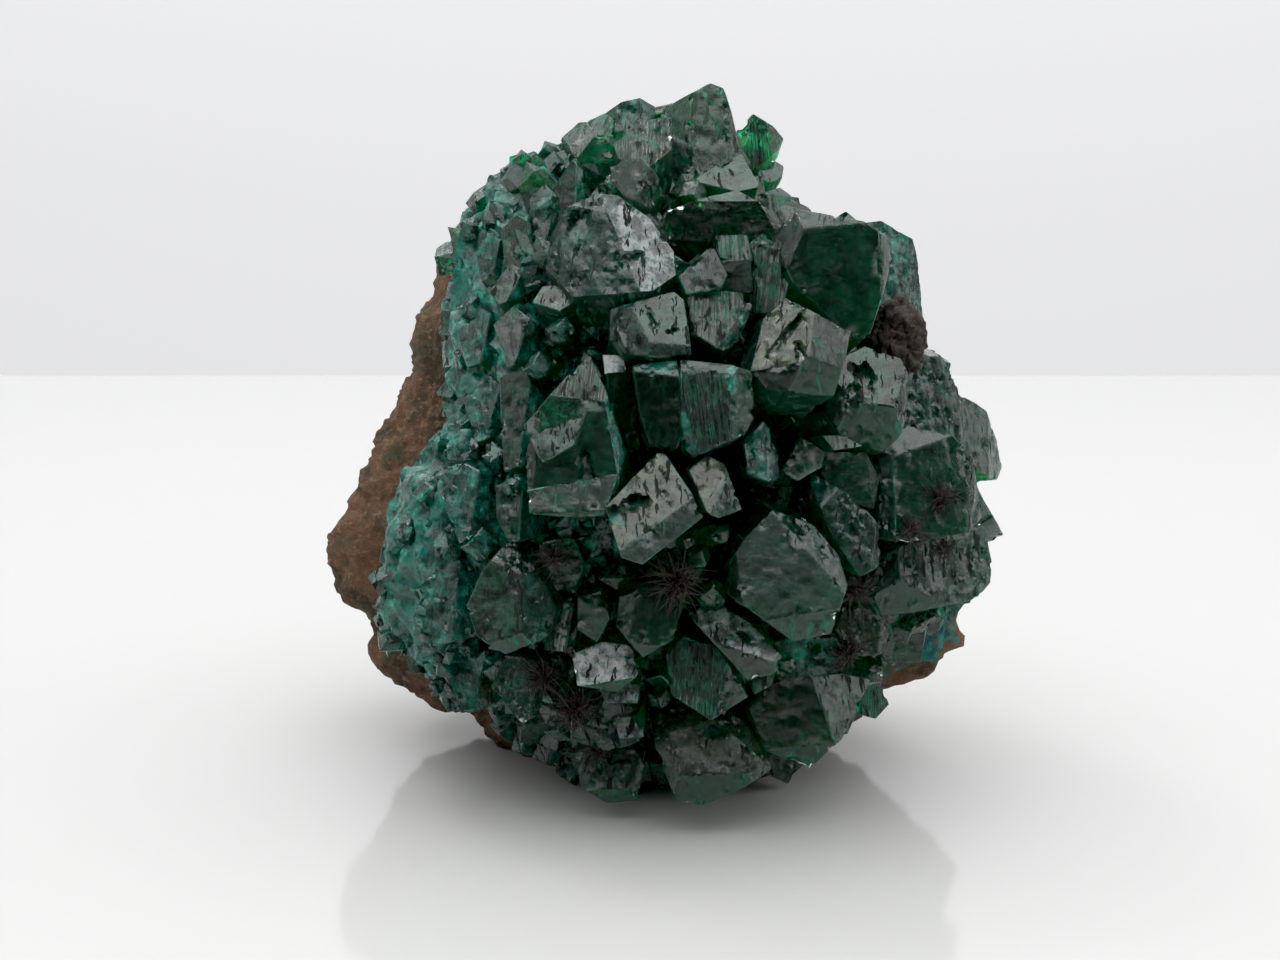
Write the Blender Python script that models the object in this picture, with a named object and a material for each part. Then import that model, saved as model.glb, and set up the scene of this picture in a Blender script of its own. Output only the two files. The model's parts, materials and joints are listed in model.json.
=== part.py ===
"""A dioptase specimen: emerald crystals grown together on a brown limonite matrix, standing on a table.

Lengths in the tables are millimetres as seen from the front: across to the right, up, and toward the viewer,
measured from the middle of the specimen. The result is in metres, +Z up, with its origin under the middle.
"""
import itertools
import math
import random

import bmesh
import bpy
import numpy as np
from mathutils import Matrix, Vector, noise

MM = 0.001
GAP = 0.35                    # room kept between neighbouring pieces
SEED = 11

# How the front of the specimen is seen
TILT = math.radians(12)       # the line of sight looks down by this much
EYE_DISTANCE = 213.0
MIDDLE = Vector((0.3, 1.0, 33.1))      # middle of the specimen above the table

# The rounded front that the crystals cover: its outline's radius at each angle about the line of sight, and
# how thick the crystals stand there on the closed mass under them
FRONT_OUTLINE = [(0, 33.5, 6), (12, 31.0, 6), (25, 28.8, 6), (35, 30.5, 6), (46, 31.0, 6), (58, 28.5, 6), (66, 29.5, 6),
                 (76, 33.5, 6), (90, 35.5, 6), (105, 34.0, 5), (118, 34.2, 3), (130, 32.0, 2), (146, 27.0, 1.6),
                 (161, 23.6, 1.6), (174, 22.8, 1.6), (183, 25.0, 1.6), (190, 28.5, 1.6), (200, 31.0, 1.6),
                 (212, 34.0, 1.6), (226, 34.0, 2), (238, 33.0, 3), (250, 35.0, 5), (265, 36.5, 6), (285, 36.0, 6),
                 (300, 35.0, 6), (320, 34.5, 6), (340, 35.0, 6)]
BULGE = 24.0
BASE_DETAIL = 2
CORE = (-2.0, -1.0, -9.0)     # the point that the crystals grow away from

RIGHT = Vector((1, 0, 0))
UPWARD = Vector((0, math.sin(TILT), math.cos(TILT)))
SIGHT = Vector((0, math.cos(TILT), -math.sin(TILT)))
EYE = MIDDLE - SIGHT * EYE_DISTANCE

# Faces that catch the light and the blocks behind them, one row for each crystal:
# name, corners of its outline (across, up), peak (across, up, height over the rounded front), length,
# faces (turned right, turned up, in degrees); a later face also names the point where it leaves the first one
BLOCKS = [
    ("top column", [(-1.0, 33.3), (4.5, 36.3), (5.8, 35.8), (6.8, 32.5), (7.6, 29.0), (5.5, 27.0), (2.5, 26.0),
                    (0.4, 26.4), (0.0, 30.5)],
     (3.2, 31.0, -3.0), 11, [(6, 18), (-48, 14, 2.3, 31.0), (60, 5, 6.3, 32.0)]),
    ("top lower face", [(2.3, 26.2), (4.6, 27.8), (7.5, 29.2), (9.2, 26.2), (9.0, 24.7), (7.0, 25.2), (3.0, 24.4)],
     (6.0, 26.5, -1.0), 9, [(4, 42)]),
    ("top right wedge", [(7.1, 31.6), (8.7, 33.3), (11.0, 31.9), (11.9, 30.8), (11.3, 29.5), (8.6, 27.4), (7.6, 28.6)],
     (9.0, 30.5, -5.0), 9, [(12, -6), (60, 12, 10.6, 30.0), (-40, 10, 8.1, 30.5)]),
    ("top right small", [(9.2, 27.3), (10.5, 28.9), (11.9, 28.1), (11.7, 26.9), (10.5, 26.3)],
     (10.7, 27.7, -4.0), 6, [(15, 32)]),
    ("right shoulder", [(9.8, 25.4), (11.4, 25.9), (13.5, 24.4), (15.0, 23.3), (13.5, 22.2), (11.8, 22.3)],
     (12.5, 24.0, -2.0), 8, [(12, 48)]),
    ("top round left", [(-6.2, 33.2), (-4.5, 34.4), (-2.5, 34.9), (-1.0, 34.0), (-0.9, 33.0), (-2.0, 31.8), (-5.0, 31.3)],
     (-3.3, 33.2, -6.0), 8, [(0, 12), (-40, 25, -4.6, 33.2), (38, 25, -2.0, 33.3)]),
    ("top far left", [(-8.5, 31.8), (-7.7, 32.6), (-6.0, 33.4), (-4.8, 32.5), (-5.5, 31.0), (-7.5, 31.0)],
     (-6.6, 32.2, -5.0), 7, [(-10, 32), (35, 10, -5.8, 32.0)]),
    ("grey wing", [(-10.5, 30.7), (-8.7, 32.4), (-7.7, 32.5), (-6.7, 31.2), (-7.4, 29.4), (-9.4, 28.5)],
     (-8.5, 30.7, -4.0), 8, [(-8, 38), (-50, 5, -9.8, 30.0)]),
    ("dark diamond", [(-9.2, 28.5), (-7.3, 30.9), (-5.0, 31.0), (-4.4, 28.5), (-6.0, 25.3), (-7.8, 25.4)],
     (-6.6, 28.5, -2.0), 8, [(-6, -4), (40, 8, -5.5, 28.5)]),
    ("sparkling roof", [(-5.4, 30.0), (-2.5, 32.5), (0.7, 32.9), (0.6, 29.7), (-1.5, 27.9), (-4.8, 28.6)],
     (-2.0, 30.5, -1.5), 9, [(-4, 46)]),
    ("grey triangle", [(-6.1, 26.8), (-4.3, 28.7), (-2.5, 28.7), (-0.7, 26.5), (-1.4, 23.3), (-4.5, 24.9)],
     (-3.6, 26.8, 0.0), 8, [(-34, 26), (38, -6, -2.4, 26.5)]),
    ("left blade high", [(-11.8, 25.0), (-9.5, 28.6), (-8.3, 27.5), (-8.0, 24.3), (-9.5, 21.5), (-11.9, 21.5)],
     (-9.8, 25.0, -1.0), 8, [(-24, 10), (42, 8, -9.1, 25.0)]),
    ("left blade outer", [(-16.6, 21.5), (-15.0, 23.1), (-13.6, 22.2), (-13.1, 19.0), (-14.2, 17.0), (-16.2, 17.8)],
     (-15.0, 20.0, -1.0), 7, [(-28, 14), (35, 5, -14.3, 20.0)]),
    ("left blade middle", [(-13.8, 24.5), (-12.2, 26.2), (-10.8, 24.6), (-11.2, 20.0), (-13.0, 19.4)],
     (-12.4, 23.0, -1.5), 7, [(-14, 16), (45, 0, -11.6, 22.5)]),
    ("left blade low", [(-18.0, 15.5), (-15.5, 18.1), (-14.2, 17.4), (-14.6, 14.6), (-16.8, 14.0)],
     (-15.8, 16.2, -1.0), 6, [(-24, 28), (30, 0, -15.0, 16.2)]),
    ("mottled dome", [(-12.2, 17.5), (-11.8, 20.5), (-10.0, 23.6), (-7.5, 25.0), (-5.0, 24.8), (-1.8, 22.5),
                      (0.6, 19.2), (0.8, 16.8), (-1.5, 15.2), (-5.0, 14.9), (-9.5, 14.6)],
     (-6.0, 20.0, 3.0), 12, [(-18, 12), (26, 28, -4.6, 19.6), (-6, 46, -7.0, 23.2), (-46, 4, -10.4, 19.0)]),
    ("grey sill", [(-13.6, 14.1), (-12.5, 15.8), (-9.4, 15.9), (-8.6, 14.4), (-10.8, 13.2)],
     (-11.2, 14.8, 0.5), 6, [(-10, 36)]),
    ("dark wide crystal", [(0.0, 23.3), (3.5, 24.6), (7.0, 25.4), (9.0, 24.3), (11.7, 22.4), (11.0, 21.0), (9.0, 20.1),
                           (4.0, 20.3), (0.2, 20.0)],
     (5.5, 22.4, -1.5), 9, [(0, -10), (0, 46, 5.0, 24.3), (45, 20, 10.4, 22.0)]),
    ("grey pentagon", [(1.0, 16.7), (4.0, 19.5), (4.7, 19.5), (6.0, 16.9), (5.2, 15.4), (1.8, 14.9)],
     (3.4, 17.0, 1.0), 8, [(-4, 32)]),
    ("striped block", [(4.8, 20.9), (8.0, 21.0), (8.6, 18.4), (7.2, 17.9), (5.2, 18.6)],
     (6.6, 19.6, -0.5), 7, [(-6, 26)]),
    ("dark under stripes", [(5.3, 18.3), (8.4, 18.5), (8.6, 15.2), (6.4, 13.6), (5.5, 16.3)],
     (7.0, 16.5, -0.5), 7, [(8, -14)]),
    ("striped column", [(7.9, 19.8), (9.5, 21.1), (12.6, 20.1), (12.9, 18.4), (11.3, 13.0), (8.7, 13.0)],
     (10.4, 17.0, 1.0), 9, [(4, 12), (4, 54, 10.4, 19.9), (-45, 5, 8.9, 17.0)]),
    ("big dark block", [(10.4, 20.7), (13.2, 23.5), (19.5, 22.3), (22.0, 20.7), (22.5, 18.5), (21.5, 14.7), (20.3, 11.0),
                        (18.3, 10.6), (12.6, 16.0)],
     (17.0, 17.0, 3.0), 13, [(8, -2), (-46, 26, 13.2, 20.5), (62, 2, 21.3, 17.0), (2, 44, 17.0, 21.9)]),
    ("right back blade", [(19.0, 22.2), (21.5, 22.5), (24.7, 20.7), (25.3, 18.5), (25.6, 14.7), (25.9, 11.8), (23.0, 11.0),
                          (21.0, 14.0)],
     (23.0, 17.0, -3.5), 9, [(30, 6), (62, 0, 24.4, 16.5)]),
    ("mottled right", [(23.6, 6.5), (25.5, 8.8), (27.5, 9.0), (29.5, 5.2), (29.9, 0.2), (27.0, -0.5), (23.8, 1.0)],
     (26.8, 4.2, -1.5), 9, [(28, 8), (60, 8, 28.6, 4.0)]),
    ("far right slab", [(29.0, 5.4), (31.0, 4.4), (32.0, 3.7), (33.5, -0.3), (33.8, -1.8), (33.2, -3.3), (31.2, -2.6),
                        (29.3, 0.3)],
     (31.3, 1.0, -5.0), 10, [(34, 14), (68, 12, 32.2, 0.5)]),
    ("lilac face", [(-5.8, 13.5), (-3.5, 14.1), (0.5, 15.3), (1.8, 14.2), (2.1, 11.0), (2.4, 8.8), (-1.0, 8.5), (-4.5, 8.9),
                    (-5.9, 10.5)],
     (-0.4, 12.2, 1.5), 10, [(8, 30), (-38, 8, -2.9, 12.0), (6, 2, -0.4, 9.9)]),
    ("sparkling crystal", [(1.8, 15.6), (7.5, 15.1), (8.5, 13.7), (7.0, 10.2), (5.5, 9.1), (2.5, 10.9)],
     (4.8, 12.8, 1.0), 8, [(4, 28), (40, 0, 7.2, 12.6)]),
    ("dark below sparkle", [(5.0, 9.6), (7.3, 11.0), (8.4, 10.0), (8.1, 7.2), (5.8, 7.4)],
     (6.8, 9.0, -1.5), 7, [(10, -12)]),
    ("yellow brick", [(9.5, 12.4), (11.8, 14.5), (15.0, 12.8), (18.4, 10.9), (17.8, 8.9), (17.0, 4.7), (12.7, 5.0),
                      (9.7, 5.5), (8.2, 7.2)],
     (12.0, 10.0, 4.0), 12, [(-22, 30), (26, 24, 14.4, 11.5), (12, -22, 13.6, 8.2), (-15, -10, 9.9, 7.4)]),
    ("right hexagon", [(16.8, 6.6), (17.7, 8.8), (19.7, 9.8), (23.3, 8.6), (24.1, 6.9), (24.1, 3.2), (23.2, 0.6),
                       (21.5, -0.9), (17.5, 0.6), (15.4, 3.6)],
     (20.4, 6.2, 3.0), 12, [(10, 30), (2, -24, 20.0, 4.0), (58, 6, 23.4, 6.0), (-34, -6, 17.4, 5.4)]),
    ("small square", [(-6.6, 8.9), (-4.3, 8.8), (-4.2, 6.9), (-6.4, 6.8)], (-5.4, 7.9, -0.5), 6, [(-8, 28)]),
    ("striped block left", [(-3.9, 7.8), (0.9, 8.3), (1.2, 6.0), (1.3, 0.5), (0.8, -0.7), (-2.3, -0.3), (-2.9, 3.5)],
     (-0.6, 4.0, 2.0), 10, [(-14, -3), (-6, 46, -1.0, 6.9)]),
    ("striped block right", [(1.2, 8.3), (6.3, 7.8), (8.4, 7.0), (8.6, 2.5), (7.5, 0.4), (4.0, -0.9), (2.5, -1.6),
                             (1.2, -0.4)],
     (4.2, 4.0, 3.0), 11, [(-4, 2), (42, 0, 6.3, 4.0), (0, 50, 4.0, 7.0), (-34, -8, 2.3, 1.6)]),
    ("dark flank", [(-6.2, 7.0), (-3.7, 7.2), (-2.7, -0.7), (-4.4, -1.2), (-5.9, 3.0)], (-4.2, 3.0, -0.5), 8, [(22, 0)]),
    ("big left crystal", [(-14.1, -5.5), (-14.3, -1.5), (-13.0, 3.4), (-9.4, 7.4), (-7.8, 8.7), (-6.2, 5.0),
                          (-4.2, -1.1), (-5.3, -5.0), (-6.4, -7.2), (-10.0, -7.5), (-13.8, -7.0)],
     (-9.5, 0.0, 4.5), 14, [(-4, 2), (-36, 6, -13.0, 0.0), (50, 14, -5.9, 1.5), (2, -24, -9.5, -6.3), (0, 34, -9.0, 4.4)]),
    ("left crystal step", [(-14.2, -4.8), (-5.0, -3.1), (-6.4, -7.3), (-10.0, -7.6), (-13.9, -7.2)],
     (-10.0, -5.4, 4.9), 6, [(-2, 26), (0, -30, -10.0, -7.0)]),
    ("left crystal face", [(-14.5, 1.7), (-12.2, 4.1), (-7.7, 4.4), (-9.4, -0.3), (-12.7, -2.2)],
     (-11.0, 1.4, 5.6), 5, [(-14, 22)]),
    ("rough columns", [(-17.2, -4.3), (-15.0, -3.3), (-13.6, -5.5), (-13.4, -9.6), (-16.0, -9.9), (-17.2, -7.5)],
     (-15.6, -6.5, 1.0), 8, [(-30, 8), (30, 4, -14.7, -6.5)]),
    ("round mauve crystal", [(-18.6, -12.8), (-16.5, -10.2), (-14.0, -11.1), (-12.0, -14.3), (-11.0, -16.8),
                             (-12.0, -19.4), (-16.2, -21.1), (-19.1, -19.3), (-20.1, -16.3)],
     (-15.6, -15.4, 2.5), 11, [(-22, 8), (30, 4, -14.3, -15.0), (-4, 46, -16.0, -12.3), (-10, -34, -15.6, -19.3)]),
    ("light brick", [(-6.4, -6.5), (-1.1, -1.0), (0.5, -1.2), (2.4, -5.3), (3.7, -7.3), (-2.7, -12.3), (-4.8, -11.6)],
     (-1.5, -6.5, 5.0), 11, [(-5, 34), (13, 12, -1.4, -8.3)]),
    ("brick neighbour", [(2.0, -2.8), (3.8, -1.2), (5.6, -2.2), (7.4, -6.8), (5.0, -7.7), (3.7, -7.0)],
     (4.2, -4.2, 3.5), 9, [(-6, 30), (42, 10, 5.4, -4.5)]),
    ("teal jewel", [(7.5, -0.1), (9.5, 2.3), (10.5, 0.7), (11.4, -3.1), (10.5, -4.1), (7.9, -3.2)],
     (9.2, -1.0, 0.5), 8, [(-2, 14), (52, 14, 10.0, -1.0)]),
    ("grey nook face", [(11.3, -2.8), (13.2, 0.9), (15.8, -0.8), (15.5, -2.3), (13.0, -3.8)],
     (13.6, -1.4, -2.0), 7, [(0, 30)]),
    ("thin triangle", [(13.4, 3.2), (17.5, 0.9), (20.1, 1.0), (19.4, -0.3), (16.6, -0.7)],
     (17.2, 0.6, -0.5), 6, [(0, 27)]),
    ("nook dark block", [(15.6, -0.8), (19.8, -0.9), (21.2, -3.5), (20.6, -6.5), (17.0, -5.5), (15.4, -3.0)],
     (18.2, -3.2, -1.0), 8, [(6, -6), (40, 0, 20.2, -3.6)]),
    ("right big block", [(20.2, -1.3), (24.0, 1.9), (28.5, 0.9), (30.6, -1.3), (31.5, -7.3), (30.1, -8.9), (24.0, -9.9),
                         (21.3, -9.3)],
     (26.0, -4.0, 2.0), 13, [(22, 4), (-28, 2, 22.6, -4.0), (6, 44, 26.0, 0.0), (60, 0, 30.2, -4.0)]),
    ("right lower pair", [(19.6, -12.3), (23.0, -10.2), (29.5, -8.6), (31.9, -8.2), (32.6, -11.8), (32.4, -13.8),
                          (31.0, -15.4), (24.0, -16.9), (21.4, -17.1)],
     (26.5, -12.5, 1.0), 12, [(34, 12), (-18, 8, 23.2, -12.3), (10, -36, 27.0, -15.6)]),
    ("right foot block", [(17.7, -16.1), (21.0, -16.4), (22.4, -18.5), (21.6, -20.9), (18.5, -21.2), (16.8, -18.5)],
     (19.8, -18.4, -1.0), 8, [(12, 2), (45, -5, 21.3, -18.4)]),
    ("large right crystal", [(6.1, -12.1), (7.5, -9.7), (10.5, -6.7), (14.5, -8.2), (17.0, -11.2), (17.9, -14.3),
                             (16.2, -19.2), (12.5, -19.9), (6.1, -15.3)],
     (11.0, -13.0, 5.0), 13, [(-3, 12), (28, 36, 13.6, -10.4), (6, -36, 12.5, -17.3), (-44, 6, 7.0, -13.0)]),
    ("textured block", [(12.9, -4.0), (14.5, -2.9), (18.5, -5.3), (21.1, -8.0), (21.4, -12.1), (18.5, -13.8), (16.6, -9.5)],
     (18.0, -8.0, 1.0), 10, [(14, 6), (-26, 38, 15.8, -5.8), (50, 0, 20.6, -9.5)]),
    ("fibre crystal", [(-12.9, -10.0), (-9.5, -9.3), (-8.3, -12.0), (-9.2, -15.0), (-12.4, -14.6)],
     (-10.8, -12.2, -2.0), 7, [(0, -6)]),
    ("smooth green face", [(-4.9, -15.3), (-1.0, -14.1), (1.1, -15.5), (0.8, -19.5), (-2.5, -21.5), (-5.2, -18.2)],
     (-1.4, -17.4, 0.5), 8, [(4, 4), (-36, 12, -3.3, -17.0), (0, -28, -1.8, -20.2)]),
    ("small green column", [(-9.0, -15.2), (-6.5, -14.7), (-5.7, -17.5), (-7.0, -20.0), (-9.1, -18.6)],
     (-7.6, -17.0, -1.0), 7, [(0, 14)]),
    ("light strip", [(-11.1, -15.2), (-9.2, -15.5), (-10.2, -20.9), (-12.4, -20.6)], (-10.7, -18.0, 0.5), 6, [(-22, 26)]),
    ("long light crystal", [(2.3, -17.5), (3.3, -16.1), (5.5, -16.2), (8.3, -18.0), (11.6, -21.6), (10.6, -23.1),
                            (8.0, -23.8), (4.2, -19.6)],
     (7.0, -19.4, 4.0), 10, [(-4, 38), (48, 0, 10.6, -21.8), (-22, -14, 5.6, -20.2)]),
    ("crystal end", [(8.0, -22.4), (11.0, -22.5), (10.5, -24.1), (8.7, -25.2)], (9.6, -23.6, 1.5), 5, [(10, 26)]),
    ("under long crystal", [(-0.1, -21.0), (1.5, -19.3), (5.0, -20.4), (8.1, -25.3), (4.3, -27.7), (0.4, -25.2)],
     (3.4, -23.2, 2.5), 9, [(-12, 10), (38, -4, 5.6, -23.2)]),
    ("bottom big crystal", [(-1.6, -26.5), (2.5, -25.6), (4.5, -27.3), (8.0, -26.0), (11.1, -32.0), (7.5, -34.4),
                            (3.5, -36.1), (1.0, -35.7), (-1.0, -31.0)],
     (4.4, -30.2, 3.0), 12, [(0, 16), (-42, 2, 0.6, -30.2), (2, -30, 4.4, -33.0), (44, -4, 9.0, -30.2)]),
    ("bottom dark block", [(8.2, -26.3), (11.0, -23.2), (17.5, -22.9), (20.4, -23.4), (17.5, -29.4), (14.2, -32.4),
                           (9.7, -30.5)],
     (13.0, -27.0, 2.5), 12, [(-12, -3), (40, 18, 15.9, -27.5), (-6, -40, 12.0, -30.4)]),
    ("dark teal nook", [(10.4, -19.8), (13.0, -19.2), (17.1, -19.4), (17.6, -22.7), (13.0, -23.5), (10.9, -22.7)],
     (14.0, -21.3, -1.0), 8, [(6, 0)]),
    ("mottled lower left", [(-17.6, -24.3), (-16.2, -21.1), (-11.9, -21.7), (-12.9, -27.0), (-14.5, -28.0)],
     (-14.6, -24.2, 1.5), 9, [(-18, 6), (32, 0, -13.2, -24.0)]),
    ("light broken face", [(-9.6, -21.0), (-6.5, -19.7), (-3.4, -20.2), (-2.9, -23.1), (-5.0, -24.9), (-9.1, -24.2)],
     (-6.2, -22.2, 2.0), 8, [(-5, 32), (4, -20, -6.2, -23.9)]),
    ("bright ledge", [(-6.9, -24.5), (-4.5, -23.7), (-2.7, -24.0), (-2.9, -26.0), (-6.1, -26.0)],
     (-4.7, -24.9, 2.0), 6, [(0, 35)]),
    ("light triangle", [(-5.3, -27.3), (-3.4, -27.1), (-2.2, -29.3), (-4.9, -29.5)], (-3.9, -28.4, 1.5), 6, [(-6, 34)]),
    ("rough bottom left", [(-9.1, -31.0), (-7.0, -29.7), (-3.5, -29.9), (-2.2, -32.0), (-2.8, -35.4), (-6.0, -35.7),
                           (-8.6, -34.1)],
     (-5.8, -32.6, 1.5), 9, [(-10, 12), (38, 0, -3.6, -32.6), (-6, -38, -5.8, -34.4)]),
    ("dark lower middle", [(-9.6, -25.7), (-6.0, -25.3), (-2.7, -26.2), (-2.4, -29.6), (-6.0, -30.7), (-9.6, -29.6)],
     (-6.0, -27.8, 0.5), 8, [(-12, -6), (34, 0, -4.0, -27.8)]),
    ("bottom right small", [(19.4, -23.9), (21.6, -23.5), (22.4, -25.8), (21.0, -27.3), (19.4, -26.9)],
     (20.7, -25.4, -3.0), 7, [(36, 4)]),
    ("turquoise chip", [(27.2, -14.2), (29.0, -14.1), (29.9, -15.8), (28.5, -17.7), (26.9, -16.9)],
     (28.4, -15.8, -1.0), 6, [(24, 12)]),
    ("left ridge high", [(-19.2, 19.4), (-17.6, 21.8), (-16.2, 20.6), (-16.6, 16.8), (-18.6, 16.4)],
     (-17.8, 19.0, -1.5), 6, [(-36, 16), (26, 4, -17.0, 19.0)]),
    ("left ridge teal", [(-21.0, 11.2), (-18.8, 14.0), (-17.0, 12.8), (-17.6, 8.4), (-20.0, 7.8)],
     (-18.8, 11.0, -1.0), 7, [(-32, 16), (30, 2, -18.0, 11.0)]),
    ("left ridge grey", [(-17.4, 12.0), (-15.4, 13.8), (-13.2, 12.2), (-13.4, 8.2), (-16.0, 7.6)],
     (-15.4, 10.6, 0.5), 7, [(-22, 22), (34, 2, -14.4, 10.6)]),
    ("left ridge middle", [(-20.4, 4.6), (-18.2, 7.2), (-16.0, 5.6), (-16.2, 1.0), (-19.0, 0.2)],
     (-18.2, 3.6, 0.0), 7, [(-32, 18), (30, 0, -17.2, 3.6)]),
    ("left ridge plate", [(-16.8, 6.6), (-14.6, 7.8), (-12.8, 5.2), (-14.2, -2.2), (-16.4, -2.8)],
     (-15.2, 2.4, 1.5), 7, [(-30, 12), (32, 4, -14.3, 2.4)]),
    ("left ridge low", [(-22.8, -5.0), (-20.4, -1.8), (-17.8, -3.2), (-17.6, -8.8), (-20.8, -10.0)],
     (-20.2, -5.6, 0.0), 8, [(-32, 14), (30, 4, -19.2, -5.6)]),
    ("left ridge foot", [(-24.6, -14.0), (-21.8, -10.8), (-19.6, -12.4), (-20.0, -19.4), (-23.4, -20.2)],
     (-22.0, -15.0, 0.0), 8, [(-34, 10), (28, 4, -21.0, -15.0)]),
    ("left ridge corner", [(-22.6, -21.6), (-20.6, -19.4), (-17.4, -21.0), (-17.0, -26.2), (-20.4, -26.6)],
     (-19.8, -23.0, -1.0), 8, [(-30, 4), (30, 0, -18.6, -23.0)]),
]

# Single crystals of dioptase's own form: across, up, height over the rounded front, radius,
# lean to the right, lean upward, turn on its own axis (degrees)
PRISMS = [
    (-6.0, 26.2, 0.4, 1.2, -10, 20, 10), (-12.2, 29.9, -3.5, 1.3, -20, 30, 40),
    (-16.2, 27.8, -3.5, 1.6, -40, 20, 5), (-14.4, 29.0, -4.0, 1.5, -30, 35, 50),
    (-18.0, 25.4, -4.0, 1.5, -50, 15, 20), (2.6, 24.9, 0.0, 1.4, 0, -10, 25),
    (-11.2, 11.6, 1.0, 1.4, -15, 10, 15), (-13.6, 7.8, 1.6, 1.4, -25, 0, 35),
    (-16.0, -4.2, 2.4, 1.0, -20, 10, 0), (-19.8, -10.0, 1.0, 1.8, -30, 5, 30),
    (3.3, -10.9, 2.8, 1.2, 10, 20, 5), (4.5, -14.4, 2.4, 1.3, 0, 25, 35),
    (6.0, -8.9, 2.6, 1.0, 30, 10, 15), (21.8, -22.8, -1.5, 1.3, 40, -10, 25),
    (12.3, -21.6, 1.0, 0.9, 10, 20, 5), (15.6, -20.7, 0.8, 0.9, 20, 10, 40),
    (-16.6, -28.8, -1.0, 1.8, -30, -30, 10), (-14.4, -30.6, -1.5, 1.6, -20, -30, 40),
    (-12.0, -31.8, -1.5, 1.7, -15, -35, 25), (-9.6, -33.6, -1.5, 1.6, -10, -40, 0),
    (-11.0, -28.6, 0.5, 1.7, -15, -10, 35), (-12.2, -24.6, -0.5, 1.5, -15, 0, 15),
    (-0.6, -23.2, -0.5, 1.5, 0, 0, 30), (-0.8, -25.4, 0.5, 1.2, 0, 0, 0),
    (24.8, 12.6, -3.0, 1.5, 40, 10, 20), (24.6, -18.6, -2.5, 1.5, 40, -10, 0),
    (11.8, 3.6, -2.5, 1.6, 0, 10, 20), (14.2, 17.0, -1.5, 1.6, 0, 10, 30),
]
PRISM_ROOT = 8.5              # how deep such a crystal reaches under the rounded front

# Where crystals of the same form fill the gaps, the rims and the sides that the front hides:
# first and last turn about the line of sight, first and last angle from it, how many, radius, height
FILL_BANDS = [
    ((0, 360), (4, 62), 10, (2.2, 3.2), -3.6),
    ((-75, 118), (66, 84), 16, (3.0, 4.4), -1.2),
    ((-70, 112), (84, 104), 16, (3.0, 4.6), -0.6),
    ((-62, 106), (104, 122), 10, (2.8, 4.2), -0.4),
    ((114, 242), (48, 88), 34, (1.3, 2.3), -0.8),
    ((-120, -75), (62, 84), 8, (2.4, 3.6), -1.6),
]

# Limonite matrix: its outline seen from the front, as radius at each angle, and its reach to front and back
ROCK_MIDDLE = (-5.0, -3.0, -12.0)
ROCK_OUTLINE = [(0, 28.0), (30, 27.0), (60, 28.0), (90, 31.0), (108, 31.5), (123, 30.4), (137, 26.6), (148, 24.6),
                (160, 24.0), (176, 26.2), (186, 27.6), (193, 31.4), (202, 31.4), (210, 29.8), (218, 31.4), (228, 31.0),
                (240, 29.4), (255, 31.0), (270, 32.0), (290, 33.0), (312, 33.5), (333, 34.2), (348, 30.5)]
ROCK_SPUR = ((31.0, -15.5, 12.5), 12.5, 0.27)     # a spur shows at the lower right: direction, height, spread
ROCK_FRONT = 9.0
ROCK_BACK = 17.5
ROCK_SQUARENESS = 2.7
ROCK_LUMP = 1.1               # height of the lumps and ledges
ROCK_PIT = 1.5                # depth of the pits
ROCK_SIDES = 40
ROCK_RINGS = (38, 60, 74, 84, 94, 104, 115, 128, 143, 160)     # angles from the line of sight to the rings of points

# Iron-brown lump at the upper right and the tufts of dark fibres: across, up, height, half sizes
LUMP = (22.9, 10.6, -0.6, (2.5, 3.5, 2.6))
TUFTS = {
    "fibre_tuft_centre": (0.8, -14.0, 4.2, 2.7), "fibre_tuft_right": (27.0, -5.4, 3.2, 2.3),
    "fibre_tuft_right_low": (24.2, -8.6, 3.0, 1.9), "fibre_tuft_ledge": (27.6, -10.4, 3.2, 1.9),
    "fibre_tuft_nook": (18.8, -14.6, 2.0, 2.2), "fibre_tuft_foot": (18.0, -20.6, 1.8, 2.3),
    "fibre_tuft_left": (-12.4, -23.2, 2.8, 2.4), "fibre_tuft_mass": (-9.2, -26.4, 2.8, 2.5),
    "fibre_tuft_bottom": (-7.0, -30.4, 2.2, 2.0), "fibre_tuft_small": (-11.4, -11.4, 1.4, 1.8),
}

RHOMB_SLOPE = math.tan(math.radians(50.9))    # dioptase's end faces against its prism


def seen_at(across, up, toward):
    """The point that the front view shows at (across, up), this far toward the viewer."""
    near = 1.0 - toward / EYE_DISTANCE
    return MIDDLE + (RIGHT * across + UPWARD * up) * near - SIGHT * toward


def along_outline(table, angle, column=1):
    """A value of an outline table at an angle about the line of sight, in degrees, eased between its rows."""
    angle %= 360
    rows = table + [(table[0][0] + 360, *table[0][1:])]
    for low, high in zip(rows, rows[1:]):
        if low[0] <= angle <= high[0]:
            share = (angle - low[0]) / (high[0] - low[0])
            ease = share * share * (3 - 2 * share)
            return low[column] + (high[column] - low[column]) * ease
    return rows[0][column]


def front_height(across, up):
    """How far the rounded front stands toward the viewer."""
    edge = along_outline(FRONT_OUTLINE, math.degrees(math.atan2(up, across)))
    rest = 1.0 - (math.hypot(across, up) / edge) ** 2
    return BULGE * math.sqrt(max(0.0, rest))


def facing(turn_right, turn_up):
    """The direction of a face that is turned from the viewer by these angles."""
    slope = RIGHT * math.tan(math.radians(turn_right)) + UPWARD * math.tan(math.radians(turn_up)) - SIGHT
    return slope.normalized()


def where_sight_meets(across, up, plane_point, plane_normal):
    ray = seen_at(across, up, 0.0) - EYE
    return EYE + ray * ((plane_point - EYE).dot(plane_normal) / ray.dot(plane_normal))


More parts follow.
